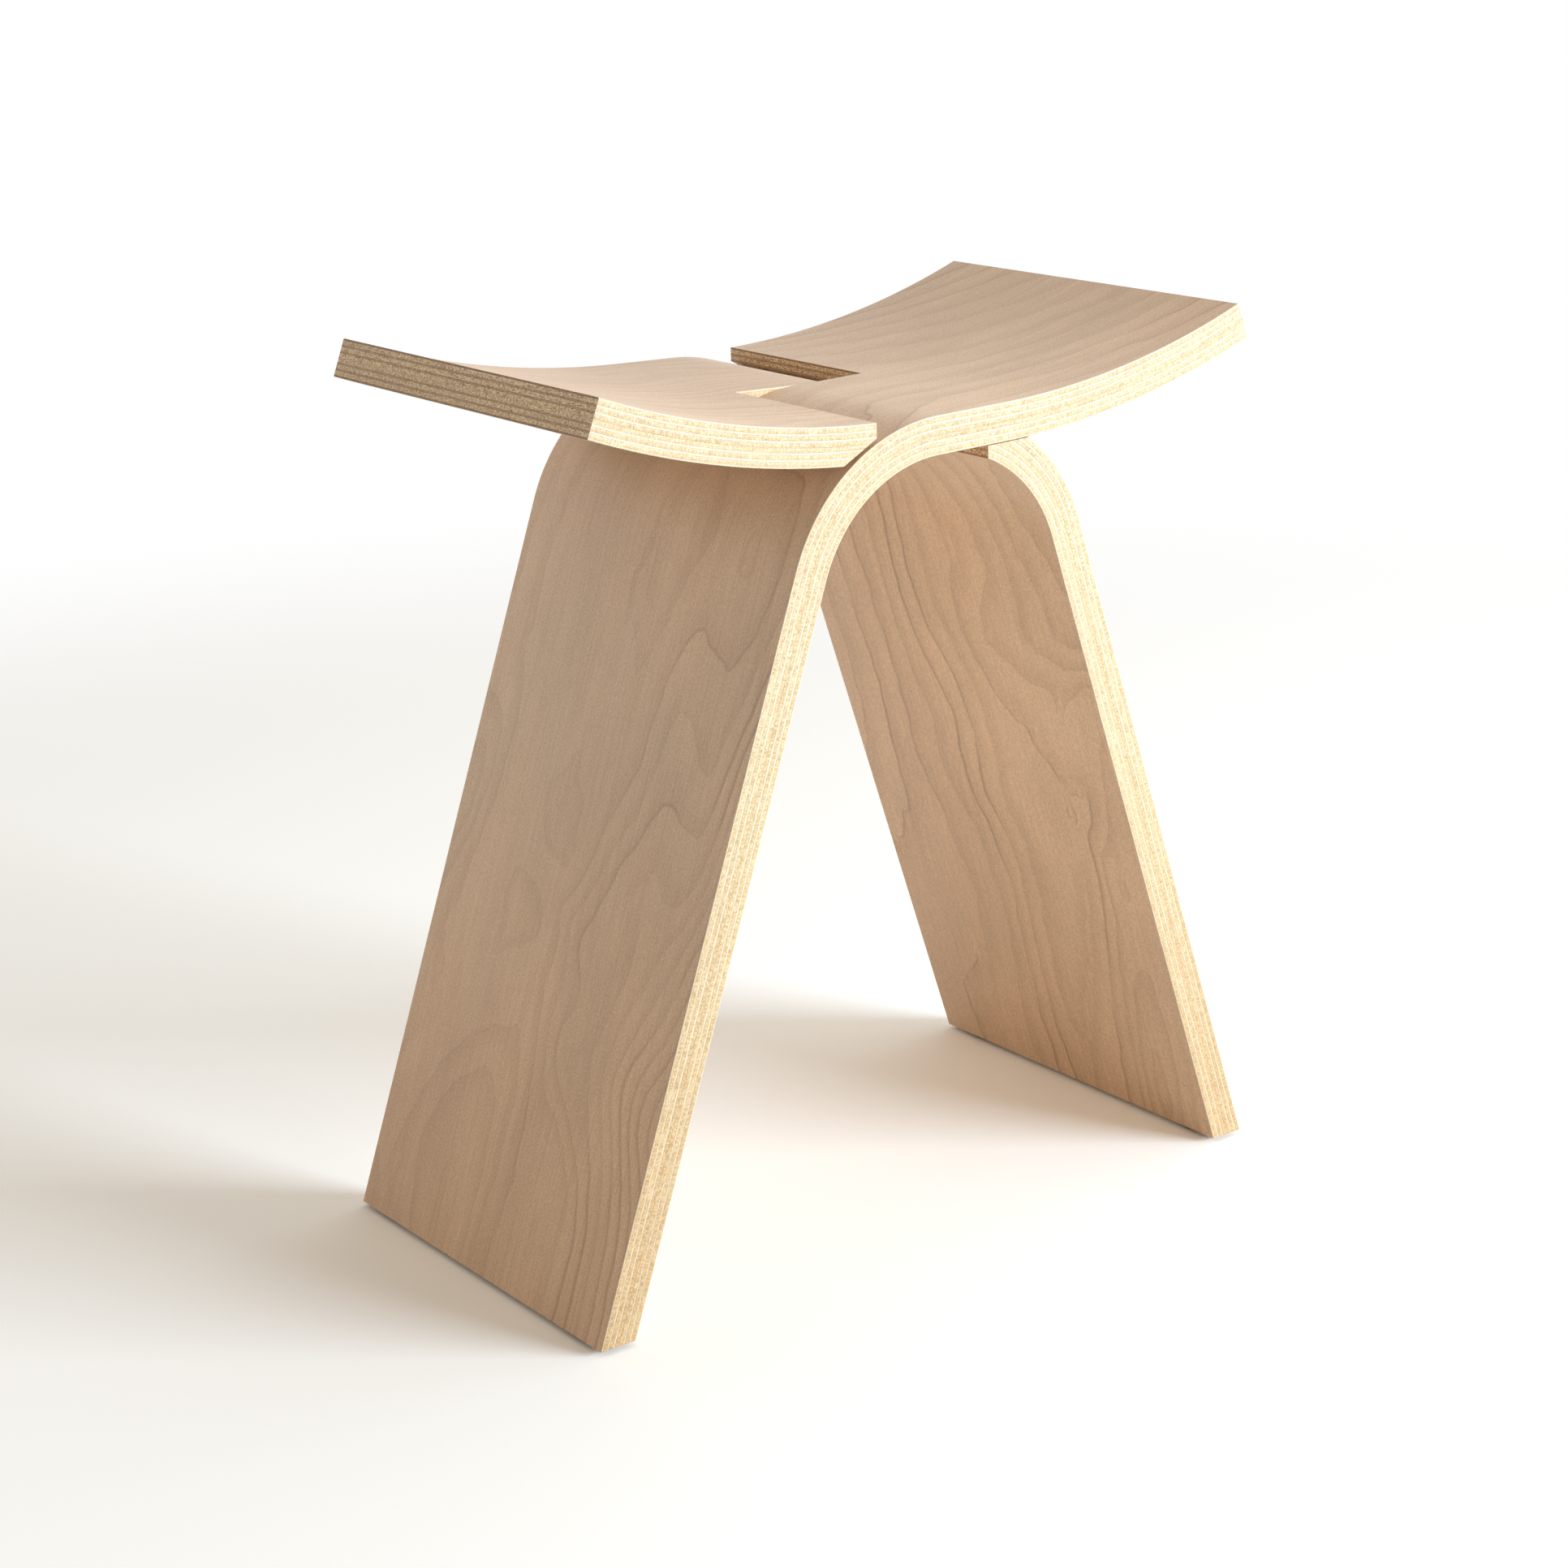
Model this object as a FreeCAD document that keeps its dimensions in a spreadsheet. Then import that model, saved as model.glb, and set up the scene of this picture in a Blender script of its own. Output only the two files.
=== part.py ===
"""Stool of two alike moulded plywood shells that lap into each other.

+X runs along the seat, +Y from front to back, +Z up; the origin is on the floor under the middle.
Each shell is a sloping leg, a bend and a wing. The right shell is the left one turned half a turn.
"""
import FreeCAD
import Part
import Sketcher
import math
import os

# Driving sizes: alias, value, meaning. Lengths in millimetres, slopes in degrees.
SIZES = (
    ("shell_width", 217.5, "each shell, front to back"),
    ("crown_height", 415.8, "floor to the top of the bend"),
    ("bend_radius", 91.7, "outside of the bend"),
    ("leg_slope", 71.1, "leg above the floor"),
    ("run_slope", 1.5, "nearly level run past the bend"),
    ("run_length", 38.2, "length of that run"),
    ("wing_radius", 474.6, "top of the wing's hollow"),
    ("wing_sweep", 19.2, "turn of the wing up to its tip"),
    ("thin_ply", 0.9, "face ply or ply with its grain along the shell"),
    ("thick_ply", 2.25, "ply with its grain across the shell"),
    ("lap_gap", 0.3, "clearance between the two shells"),
    ("wing_end", 39.0, "middle to the slot's end at the wing"),
    ("bevel_slope", 28.6, "underside of that end, from level"),
    ("bevel_gap", 2.0, "that underside to the other shell's bend"),
    ("leg_land", 8.0, "level landing at the slot's end at the leg"),
    ("slot_reach", 75.0, "middle to the far side of the cut"),
    ("slot_depth", 45.0, "crown to the floor of the cut"),
    ("slot_rise", 30.0, "crown to the top of the cut"),
    ("glide_height", 2.5, "foot above the floor"),
    ("glide_radius", 7.5, "disc under the foot"),
    ("glide_edge", 1.2, "rounding of its lower edge"),
    ("glide_inset", 23.0, "disc's middle in from the shell's long edge"),
    ("recess_radius", 3.4, "recess for the nail's head"),
    ("recess_depth", 1.5, "depth of that recess"),
    ("head_radius", 3.0, "nail's head"),
    ("head_height", 0.9, "thickness of the head"),
    ("shank_radius", 1.1, "nail's shank"),
    ("nail_length", 18.0, "shank with its point, above the head"),
    ("point_length", 2.5, "nail's point"),
    ("nail_fit", 0.1, "clearance round the shank and past its point"),
)
SIZE = {alias: value for alias, value, meaning in SIZES}

# Plies from the top or outer face inwards. Face and long plies are thin, the others thick.
LAYUP = ("face", "cross", "long", "cross", "long", "core",
         "core", "long", "cross", "long", "cross", "face")
THIN = ("face", "long")

doc = FreeCAD.newDocument("Stool")
sheet = doc.addObject("Spreadsheet::Sheet", "Sizes")
for row, (alias, value, meaning) in enumerate(SIZES, start=1):
    sheet.set("A%d" % row, meaning)
    sheet.set("B%d" % row, str(value))
    sheet.setAlias("B%d" % row, alias)
doc.recompute()


def stack(count):
    """Depth of the first plies below the outer face: expression and value."""
    thin = sum(kind in THIN for kind in LAYUP[:count])
    thick = count - thin
    words = "(%d * Sizes.thin_ply + %d * Sizes.thick_ply)" % (thin, thick)
    return words, thin * SIZE["thin_ply"] + thick * SIZE["thick_ply"]


WALL_WORDS, WALL = stack(len(LAYUP))

# Places that several sketches share, as expressions and as the values that they start from.
BEND_Z_WORDS = "(Sizes.crown_height - Sizes.bend_radius)"
WING_X_WORDS = ("(Sizes.run_length * cos(Sizes.run_slope)"
                " - (Sizes.bend_radius + Sizes.wing_radius) * sin(Sizes.run_slope))")
WING_Z_WORDS = ("(%s + Sizes.run_length * sin(Sizes.run_slope)"
                " + (Sizes.bend_radius + Sizes.wing_radius) * cos(Sizes.run_slope))" % BEND_Z_WORDS)
FOOT_X_WORDS = ("(Sizes.bend_radius * sin(Sizes.leg_slope)"
                " + (%s + Sizes.bend_radius * cos(Sizes.leg_slope) - Sizes.glide_height)"
                " / tan(Sizes.leg_slope) - %s / 2 / sin(Sizes.leg_slope))"
                % (BEND_Z_WORDS, WALL_WORDS))
GLIDE_Y_WORDS = "(Sizes.shell_width / 2 - Sizes.glide_inset)"

LEG = math.radians(SIZE["leg_slope"])
RUN = math.radians(SIZE["run_slope"])
TIP = RUN + math.radians(SIZE["wing_sweep"])
BEVEL = math.radians(SIZE["bevel_slope"])
BEND_CENTRE = FreeCAD.Vector(0, SIZE["crown_height"] - SIZE["bend_radius"], 0)
RUN_WAY = FreeCAD.Vector(math.cos(RUN), math.sin(RUN), 0)
RUN_UP = FreeCAD.Vector(-math.sin(RUN), math.cos(RUN), 0)
WING_CENTRE = (BEND_CENTRE + RUN_UP * (SIZE["bend_radius"] + SIZE["wing_radius"])
               + RUN_WAY * SIZE["run_length"])
FOOT_X = (SIZE["bend_radius"] * math.sin(LEG) - WALL / 2 / math.sin(LEG)
          + (BEND_CENTRE.y + SIZE["bend_radius"] * math.cos(LEG) - SIZE["glide_height"])
          / math.tan(LEG))
GLIDE_Y = SIZE["shell_width"] / 2 - SIZE["glide_inset"]
Z_AXIS = FreeCAD.Vector(0, 0, 1)


def new_body(label):
    body = doc.addObject("PartDesign::Body", label)
    body.Label = label
    return body


def new_sketch(body, plane, name):
    """Empty sketch on one of the body's own origin planes."""
    sketch = body.newObject("Sketcher::SketchObject", body.Name + "_" + name)
    support = [f for f in body.Origin.OriginFeatures if f.Role == plane][0]
    sketch.AttachmentSupport = [(support, "")]
    sketch.MapMode = "FlatFace"
    return sketch


def line(sketch, start, end):
    return sketch.addGeometry(Part.LineSegment(start, end), False)


def arc(sketch, centre, radius, first, last):
    """Arc from the angle first, anticlockwise, to the angle last, in radians."""
    circle = Part.Circle(centre, Z_AXIS, radius)
    return sketch.addGeometry(Part.ArcOfCircle(circle, first, last), False)


def rule(sketch, *words):
    sketch.addConstraint(Sketcher.Constraint(*words))


def drive(sketch, name, expression, *words):
    """Dimension that the sheet drives."""
    index = sketch.addConstraint(Sketcher.Constraint(*words))
    sketch.renameConstraint(index, name)
    sketch.setExpression("Constraints." + name, expression)


def polar(centre, radius, angle):
    return centre + FreeCAD.Vector(math.cos(angle), math.sin(angle), 0) * radius


def offset_chain(sketch, depth):
    """Leg, bend, run and wing of the shell at a depth below its outer face."""
    bend = SIZE["bend_radius"] - depth
    wing = SIZE["wing_radius"] + depth
    quarter = math.pi / 2
    bend_start = polar(BEND_CENTRE, bend, quarter + LEG)
    run_start = polar(BEND_CENTRE, bend, quarter + RUN)
    run_end = polar(WING_CENTRE, wing, RUN - quarter)
    down = (bend_start.y - SIZE["glide_height"]) / math.sin(LEG)
    foot = bend_start - FreeCAD.Vector(math.cos(LEG), math.sin(LEG), 0) * down
    leg_line = line(sketch, foot, bend_start)
    bend_arc = arc(sketch, BEND_CENTRE, bend, quarter + RUN, quarter + LEG)
    run_line = line(sketch, run_start, run_end)
    wing_arc = arc(sketch, WING_CENTRE, wing, RUN - quarter, TIP - quarter)
    rule(sketch, "Tangent", leg_line, 2, bend_arc, 2)
    rule(sketch, "Tangent", bend_arc, 1, run_line, 1)
    rule(sketch, "Tangent", run_line, 2, wing_arc, 1)
    return leg_line, bend_arc, run_line, wing_arc, foot, polar(WING_CENTRE, wing, TIP - quarter)


def ply_profile(body, above, below):
    """Closed outline of one ply between two depths, seen from the front."""
    sketch = new_sketch(body, "XZ_Plane", "profile")
    (above_words, above_depth), (below_words, below_depth) = above, below
    leg_o, bend_o, run_o, wing_o, foot_o, tip_o = offset_chain(sketch, above_depth)
    leg_i, bend_i, run_i, wing_i, foot_i, tip_i = offset_chain(sketch, below_depth)
    tip = line(sketch, tip_o, tip_i)
    foot = line(sketch, foot_i, foot_o)
    rule(sketch, "Coincident", wing_o, 2, tip, 1)
    rule(sketch, "Coincident", tip, 2, wing_i, 2)
    rule(sketch, "Coincident", leg_i, 1, foot, 1)
    rule(sketch, "Coincident", foot, 2, leg_o, 1)
    rule(sketch, "Coincident", bend_o, 3, bend_i, 3)
    rule(sketch, "Coincident", wing_o, 3, wing_i, 3)
    rule(sketch, "PointOnObject", bend_o, 3, -2)
    rule(sketch, "PointOnObject", wing_o, 3, tip)
    rule(sketch, "Parallel", leg_o, leg_i)
    rule(sketch, "Horizontal", foot)
    drive(sketch, "bend_height", BEND_Z_WORDS, "DistanceY", -1, 1, bend_o, 3, BEND_CENTRE.y)
    drive(sketch, "bend_above", "Sizes.bend_radius - " + above_words,
          "Radius", bend_o, SIZE["bend_radius"] - above_depth)
    drive(sketch, "bend_below", "Sizes.bend_radius - " + below_words,
          "Radius", bend_i, SIZE["bend_radius"] - below_depth)
    drive(sketch, "wing_above", "Sizes.wing_radius + " + above_words,
          "Radius", wing_o, SIZE["wing_radius"] + above_depth)
    drive(sketch, "wing_below", "Sizes.wing_radius + " + below_words,
          "Radius", wing_i, SIZE["wing_radius"] + below_depth)
    drive(sketch, "leg_slope", "Sizes.leg_slope * 1 deg", "Angle", leg_o, LEG)
    drive(sketch, "run_slope", "Sizes.run_slope * 1 deg", "Angle", run_o, RUN)
    drive(sketch, "run_length", "Sizes.run_length", "Distance", run_o, SIZE["run_length"])
    drive(sketch, "tip_slope", "(Sizes.run_slope + Sizes.wing_sweep - 90) * 1 deg",
          "Angle", tip, TIP - math.pi / 2)
    drive(sketch, "foot_height", "Sizes.glide_height",
          "DistanceY", -1, 1, leg_o, 1, SIZE["glide_height"])
    return sketch


def slot_outline(body):
    """Outline of the half-width slot that lets the other shell through.

    Its left side follows the underside of the other shell's wing, which rests on the leg there.
    Its right side clears the other shell's bend: upright above, then bevelled.
    """
    sketch = new_sketch(body, "XZ_Plane", "slot")
    quarter = math.pi / 2
    radius = SIZE["wing_radius"] + WALL + SIZE["lap_gap"]
    centre = FreeCAD.Vector(-WING_CENTRE.x, WING_CENTRE.y, 0)
    reach = math.asin((SIZE["slot_reach"] + centre.x) / radius)
    far = polar(centre, radius, -quarter - reach)
    bend = polar(centre, radius, -quarter - RUN)
    land = bend + FreeCAD.Vector(math.cos(RUN), -math.sin(RUN), 0) * SIZE["leg_land"]
    floor = SIZE["crown_height"] - SIZE["slot_depth"]
    top = SIZE["crown_height"] + SIZE["slot_rise"]
    hook = (BEND_CENTRE.y + (SIZE["bend_radius"] + SIZE["bevel_gap"]) / math.cos(BEVEL)
            - SIZE["wing_end"] * math.tan(BEVEL))
    under = arc(sketch, centre, radius, -quarter - reach, -quarter - RUN)
    corners = (bend, land, FreeCAD.Vector(land.x, floor, 0),
               FreeCAD.Vector(SIZE["wing_end"] + (hook - floor) / math.tan(BEVEL), floor, 0),
               FreeCAD.Vector(SIZE["wing_end"], hook, 0),
               FreeCAD.Vector(SIZE["wing_end"], top, 0),
               FreeCAD.Vector(-SIZE["slot_reach"], top, 0), far)
    sides = [line(sketch, a, b) for a, b in zip(corners, corners[1:])]
    landing, leg_side, bottom, bevel, wing_side, ceiling, back = sides
    rule(sketch, "Tangent", under, 2, landing, 1)
    for one, other in zip(sides, sides[1:]):
        rule(sketch, "Coincident", one, 2, other, 1)
    rule(sketch, "Coincident", back, 2, under, 1)
    for side in (leg_side, wing_side, back):
        rule(sketch, "Vertical", side)
    for side in (bottom, ceiling):
        rule(sketch, "Horizontal", side)
    drive(sketch, "centre_x", "-" + WING_X_WORDS, "DistanceX", -1, 1, under, 3, centre.x)
    drive(sketch, "centre_z", WING_Z_WORDS, "DistanceY", -1, 1, under, 3, centre.y)
    drive(sketch, "under_radius", "Sizes.wing_radius + %s + Sizes.lap_gap" % WALL_WORDS,
          "Radius", under, radius)
    drive(sketch, "run_slope", "-Sizes.run_slope * 1 deg", "Angle", landing, -RUN)
    drive(sketch, "leg_land", "Sizes.leg_land", "Distance", landing, SIZE["leg_land"])
    drive(sketch, "floor_height", "Sizes.crown_height - Sizes.slot_depth",
          "DistanceY", -1, 1, leg_side, 2, floor)
    drive(sketch, "bevel_slope", "(180 - Sizes.bevel_slope) * 1 deg",
          "Angle", bevel, math.pi - BEVEL)
    drive(sketch, "hook_height", BEND_Z_WORDS + " + (Sizes.bend_radius + Sizes.bevel_gap)"
          " / cos(Sizes.bevel_slope) - Sizes.wing_end * tan(Sizes.bevel_slope)",
          "DistanceY", -1, 1, bevel, 2, hook)
    drive(sketch, "wing_end", "Sizes.wing_end",
          "DistanceX", -1, 1, bevel, 2, SIZE["wing_end"])
    drive(sketch, "top_height", "Sizes.crown_height + Sizes.slot_rise",
          "DistanceY", -1, 1, wing_side, 2, top)
    drive(sketch, "slot_reach", "-Sizes.slot_reach",
          "DistanceX", -1, 1, back, 1, -SIZE["slot_reach"])
    # The sketch's own normal points to the front, so this leaves half the gap behind the middle.
    sketch.setExpression("AttachmentOffset.Base.z", "Sizes.lap_gap / 2")
    return sketch


def pilot_holes(body):
    """Two circles under the foot, where the nails go up into the plies."""
    sketch = new_sketch(body, "XY_Plane", "pilots")
    radius = SIZE["shank_radius"] + SIZE["nail_fit"]
    for name, side in (("front", -1), ("back", 1)):
        centre = FreeCAD.Vector(-FOOT_X, side * GLIDE_Y, 0)
        hole = sketch.addGeometry(Part.Circle(centre, Z_AXIS, radius), False)
        drive(sketch, name + "_radius", "Sizes.shank_radius + Sizes.nail_fit",
              "Radius", hole, radius)
        drive(sketch, name + "_x", "-" + FOOT_X_WORDS, "DistanceX", -1, 1, hole, 3, centre.x)
        drive(sketch, name + "_y", "%d * %s" % (side, GLIDE_Y_WORDS),
              "DistanceY", -1, 1, hole, 3, centre.y)
    return sketch


def make_ply(label, number):
    """One veneer of a shell, with its half of the lap and its share of the pilot holes."""
    body = new_body(label)
    pad = body.newObject("PartDesign::Pad", body.Name + "_pad")
    pad.Profile = ply_profile(body, stack(number - 1), stack(number))
    pad.SideType = "Symmetric"
    pad.setExpression("Length", "Sizes.shell_width")
    slot = body.newObject("PartDesign::Pocket", body.Name + "_slot_cut")
    slot.Profile = slot_outline(body)
    slot.Type = "ThroughAll"
    pilots = body.newObject("PartDesign::Pocket", body.Name + "_pilot_cut")
    pilots.Profile = pilot_holes(body)
    pilots.Reversed = True
    pilots.setExpression("Length", "Sizes.recess_depth + Sizes.nail_length + Sizes.nail_fit")
    body.Tip = pilots
    return body


def revolved(label, corners, arcs, heights):
    """Turned piece from its half outline: corner points, which sides are arcs, driven sizes."""
    body = new_body(label)
    sketch = new_sketch(body, "XZ_Plane", "outline")
    sides = []
    for index, (start, end) in enumerate(zip(corners, corners[1:] + corners[:1])):
        if index in arcs:
            centre = FreeCAD.Vector(start[0], end[1], 0)
            sides.append(arc(sketch, centre, end[0] - start[0], -math.pi / 2, 0))
        else:
            sides.append(line(sketch, FreeCAD.Vector(*start, 0), FreeCAD.Vector(*end, 0)))
    for index, side in enumerate(sides):
        following = sides[(index + 1) % len(sides)]
        rule(sketch, "Coincident", side, 2, following, 1)
    for name, kind, side, vertex, expression, value in heights(sides):
        drive(sketch, name, expression, kind, -1, 1, side, vertex, value)
    turn = body.newObject("PartDesign::Revolution", body.Name + "_turn")
    turn.Profile = sketch
    turn.ReferenceAxis = (sketch, ["V_Axis"])
    turn.Angle = 360
    body.Tip = turn
    return body


def glide_body(label):
    """Disc with a rounded lower edge, a hole for the shank and a recess for the nail's head."""
    hole = SIZE["shank_radius"] + SIZE["nail_fit"]
    recess, deep = SIZE["recess_radius"], SIZE["recess_depth"]
    radius, edge, height = SIZE["glide_radius"], SIZE["glide_edge"], SIZE["glide_height"]
    corners = [(recess, 0), (radius - edge, 0), (radius, edge), (radius, height),
               (hole, height), (hole, deep), (recess, deep)]

    def dimensions(sides):
        flat, rim, wall, top, bore, step, recess_wall = sides
        rows = (("recess", flat, 1, "Sizes.recess_radius", recess, "0", 0),
                ("rim", flat, 2, "Sizes.glide_radius - Sizes.glide_edge", radius - edge, "0", 0),
                ("wall", wall, 1, "Sizes.glide_radius", radius, "Sizes.glide_edge", edge),
                ("top", wall, 2, "Sizes.glide_radius", radius, "Sizes.glide_height", height),
                ("bore", top, 2, "Sizes.shank_radius + Sizes.nail_fit", hole,
                 "Sizes.glide_height", height),
                ("step", bore, 2, "Sizes.shank_radius + Sizes.nail_fit", hole,
                 "Sizes.recess_depth", deep),
                ("mouth", step, 2, "Sizes.recess_radius", recess, "Sizes.recess_depth", deep))
        return corner_rows(rows) + [("edge", "DistanceX", rim, 3,
                                     "Sizes.glide_radius - Sizes.glide_edge", radius - edge)]

    return revolved(label, corners, (1,), dimensions)


def nail_body(label):
    """Nail with a flat head against the floor of the glide's recess, and a point."""
    head, thick = SIZE["head_radius"], SIZE["head_height"]
    shank, seat = SIZE["shank_radius"], SIZE["recess_depth"]
    shoulder = seat + SIZE["nail_length"] - SIZE["point_length"]
    point = seat + SIZE["nail_length"]
    corners = [(0, seat - thick), (head, seat - thick), (head, seat), (shank, seat),
               (shank, shoulder), (0, point)]

    def dimensions(sides):
        under, rim, step, wall, slope, axis = sides
        low, seated = "Sizes.recess_depth - Sizes.head_height", "Sizes.recess_depth"
        rows = (("base", under, 1, "0", 0, low, seat - thick),
                ("rim", under, 2, "Sizes.head_radius", head, low, seat - thick),
                ("head", rim, 2, "Sizes.head_radius", head, seated, seat),
                ("neck", step, 2, "Sizes.shank_radius", shank, seated, seat),
                ("shoulder", wall, 2, "Sizes.shank_radius", shank,
                 "Sizes.recess_depth + Sizes.nail_length - Sizes.point_length", shoulder),
                ("point", slope, 2, "0", 0, "Sizes.recess_depth + Sizes.nail_length", point))
        return corner_rows(rows)

    return revolved(label, corners, (), dimensions)


def corner_rows(rows):
    """Two driven distances, across and up, for each named corner."""
    found = []
    for name, side, vertex, across_words, across, up_words, up in rows:
        found.append((name + "_x", "DistanceX", side, vertex, across_words, across))
        found.append((name + "_z", "DistanceY", side, vertex, up_words, up))
    return found


def place_under_foot(body, turned, side):
    """Stands a glide or nail under a foot; turned is 1 for the left shell and -1 for the right."""
    body.setExpression("Placement.Base.x", "%d * %s" % (-turned, FOOT_X_WORDS))
    body.setExpression("Placement.Base.y", "%d * %s" % (side, GLIDE_Y_WORDS))


pieces = []
for shell, turned in (("left", 1), ("right", -1)):
    for number, kind in enumerate(LAYUP, start=1):
        ply = make_ply("%s_ply_%02d_%s" % (shell, number, kind), number)
        if turned < 0:
            ply.Placement = FreeCAD.Placement(FreeCAD.Vector(), FreeCAD.Rotation(Z_AXIS, 180))
        pieces.append(ply)
    for where, side in (("front", -1), ("back", 1)):
        for make, what in ((glide_body, "glide"), (nail_body, "glide_nail")):
            piece = make("%s_%s_%s" % (shell, where, what))
            place_under_foot(piece, turned, side)
            pieces.append(piece)

doc.recompute()

for item in doc.Objects:
    if "Invalid" in item.State or "Error" in item.State:
        raise RuntimeError("failed: " + item.Name)
for piece in pieces:
    if piece.Shape.isNull() or not piece.Shape.isValid() or len(piece.Shape.Solids) != 1:
        raise RuntimeError("bad shape: " + piece.Label)

os.makedirs("parts", exist_ok=True)
for piece in pieces:
    piece.Shape.exportStep("parts/%s.step" % piece.Label)
    print(piece.Label, "volume %.1f mm3" % piece.Shape.Volume)
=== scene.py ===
"""Looks of the stacking stool: two alike moulded plywood shells, lapped, on four glides.

Each shell is glued up from twelve veneers, and each veneer is a piece of its own, swept along the
shell's line and cut for the lap. Sizes are written in millimetres and meshes are in metres, in the
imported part's frame: +X along the seat, +Y from front to back, +Z up, the origin on the floor.
"""
import logging
import math
from dataclasses import dataclass, replace
from enum import Enum
from typing import Any, Iterable, Optional, Sequence

import bmesh
import bpy
import numpy as np
from mathutils import Matrix, Vector


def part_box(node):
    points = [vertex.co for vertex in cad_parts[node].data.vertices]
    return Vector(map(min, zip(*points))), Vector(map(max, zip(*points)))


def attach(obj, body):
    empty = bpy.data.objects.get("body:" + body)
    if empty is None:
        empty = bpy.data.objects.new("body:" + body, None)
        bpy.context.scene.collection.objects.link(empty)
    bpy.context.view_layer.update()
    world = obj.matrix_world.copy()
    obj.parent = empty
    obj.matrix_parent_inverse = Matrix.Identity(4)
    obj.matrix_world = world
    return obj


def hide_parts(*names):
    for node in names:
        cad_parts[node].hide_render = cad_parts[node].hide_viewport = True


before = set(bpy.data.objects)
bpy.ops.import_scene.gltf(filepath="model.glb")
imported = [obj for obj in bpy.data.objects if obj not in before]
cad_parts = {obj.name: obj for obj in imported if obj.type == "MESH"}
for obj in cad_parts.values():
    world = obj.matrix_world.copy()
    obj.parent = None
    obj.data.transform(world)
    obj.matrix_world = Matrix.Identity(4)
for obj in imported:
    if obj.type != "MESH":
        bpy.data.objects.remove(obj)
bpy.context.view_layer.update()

LOG = logging.getLogger("stool")
MM = 0.001
PICTURE_SIDE = 1932.0
SENSOR = 36.0
# Metres into the log from one veneer's place to the next one's, far more than a thickness.
PLY_PITCH = 0.37

Colour = tuple[float, float, float, float]
Point = tuple[float, float]
Size = tuple[float, float, float]
Light = tuple[float, float, float]
Tree = bpy.types.NodeTree
Socket = bpy.types.NodeSocket
Mesh = bpy.types.Mesh
Material = bpy.types.Material


def linear(code: str) -> Colour:
    """Turns an sRGB hex colour into the linear one that the shaders take.

    Args:
        code: Six hex digits, with or without a leading hash.

    Returns:
        Red, green, blue and an alpha of 1, from 0 to 1.
    """
    digits = code.lstrip("#")
    parts = [int(digits[at:at + 2], 16) / 255 for at in (0, 2, 4)]
    red, green, blue = (p / 12.92 if p <= 0.04045 else ((p + 0.055) / 1.055) ** 2.4 for p in parts)
    return red, green, blue, 1.0


def add(tree: Tree, kind: str, inputs: Optional[dict[Any, Any]] = None, out: Any = 0,
        **settings: Any) -> Optional[Socket]:
    """Adds one node with its settings, values and links.

    Args:
        tree: The shader or geometry tree.
        kind: The node's type name.
        inputs: Socket name or number, and the value or the output socket that goes there. A list
            links several outputs to one socket.
        out: Name or number of the output that is wanted.
        **settings: Properties of the node itself.

    Returns:
        That output, or None if the node has none.
    """
    node = tree.nodes.new(kind)
    for name, value in settings.items():
        setattr(node, name, value)
    for key, value in (inputs or {}).items():
        for item in value if isinstance(value, list) else [value]:
            if isinstance(item, Socket):
                tree.links.new(item, node.inputs[key])
            else:
                node.inputs[key].default_value = item
    return node.outputs[out] if node.outputs else None


def empty_tree(block: Any) -> Tree:
    """Gives a new material or world an empty node tree.

    Args:
        block: The material or world.

    Returns:
        Its tree.
    """
    block.use_nodes = True
    block.node_tree.nodes.clear()
    return block.node_tree


def put_in_scene(name: str, data: Any) -> bpy.types.Object:
    """Makes an object and links it to the scene.

    Args:
        name: Name of the object.
        data: Its mesh, light or camera.

    Returns:
        The object, at the origin.
    """
    made = bpy.data.objects.new(name, data)
    bpy.context.scene.collection.objects.link(made)
    return made


def hang(name: str, mesh: Mesh, body: str, node: str) -> None:
    """Makes a piece of a mesh, ties it to what it stands for and reports it.

    Args:
        name: Name of the piece.
        mesh: Its mesh, in its place.
        body: The CAD body that it rides on.
        node: The CAD node that it stands for.
    """
    piece = put_in_scene(name, mesh)
    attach(piece, body)
    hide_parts(node)
    low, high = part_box(node)
    spots = np.array([v.co for v in mesh.vertices])
    off = max(np.abs(spots.min(0) - low).max(), np.abs(spots.max(0) - high).max())
    LOG.info("%s: %d faces, box within %.3f mm of its CAD node", name, len(mesh.polygons),
             off / MM)


class Veneer(Enum):
    """The kinds of veneer in the lay-up: thickness in millimetres and the record's slot."""

    FACE = (0.9, "face_veneer", "face")
    LONG = (0.9, "long_grain_veneer", "long")
    CROSS = (2.25, "cross_grain_veneer", "cross")
    CORE = (2.25, "cross_grain_veneer", "core")

    @property
    def thickness(self) -> float:
        """Thickness in millimetres."""
        return self.value[0]

    @property
    def slot(self) -> str:
        """Name of the material slot in the record."""
        return self.value[1]

    @property
    def word(self) -> str:
        """The kind as it stands in the names of pieces."""
        return self.value[2]


LAYUP = (Veneer.FACE, Veneer.CROSS, Veneer.LONG, Veneer.CROSS, Veneer.LONG, Veneer.CORE,
         Veneer.CORE, Veneer.LONG, Veneer.CROSS, Veneer.LONG, Veneer.CROSS, Veneer.FACE)
WALL = sum(kind.thickness for kind in LAYUP)


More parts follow.
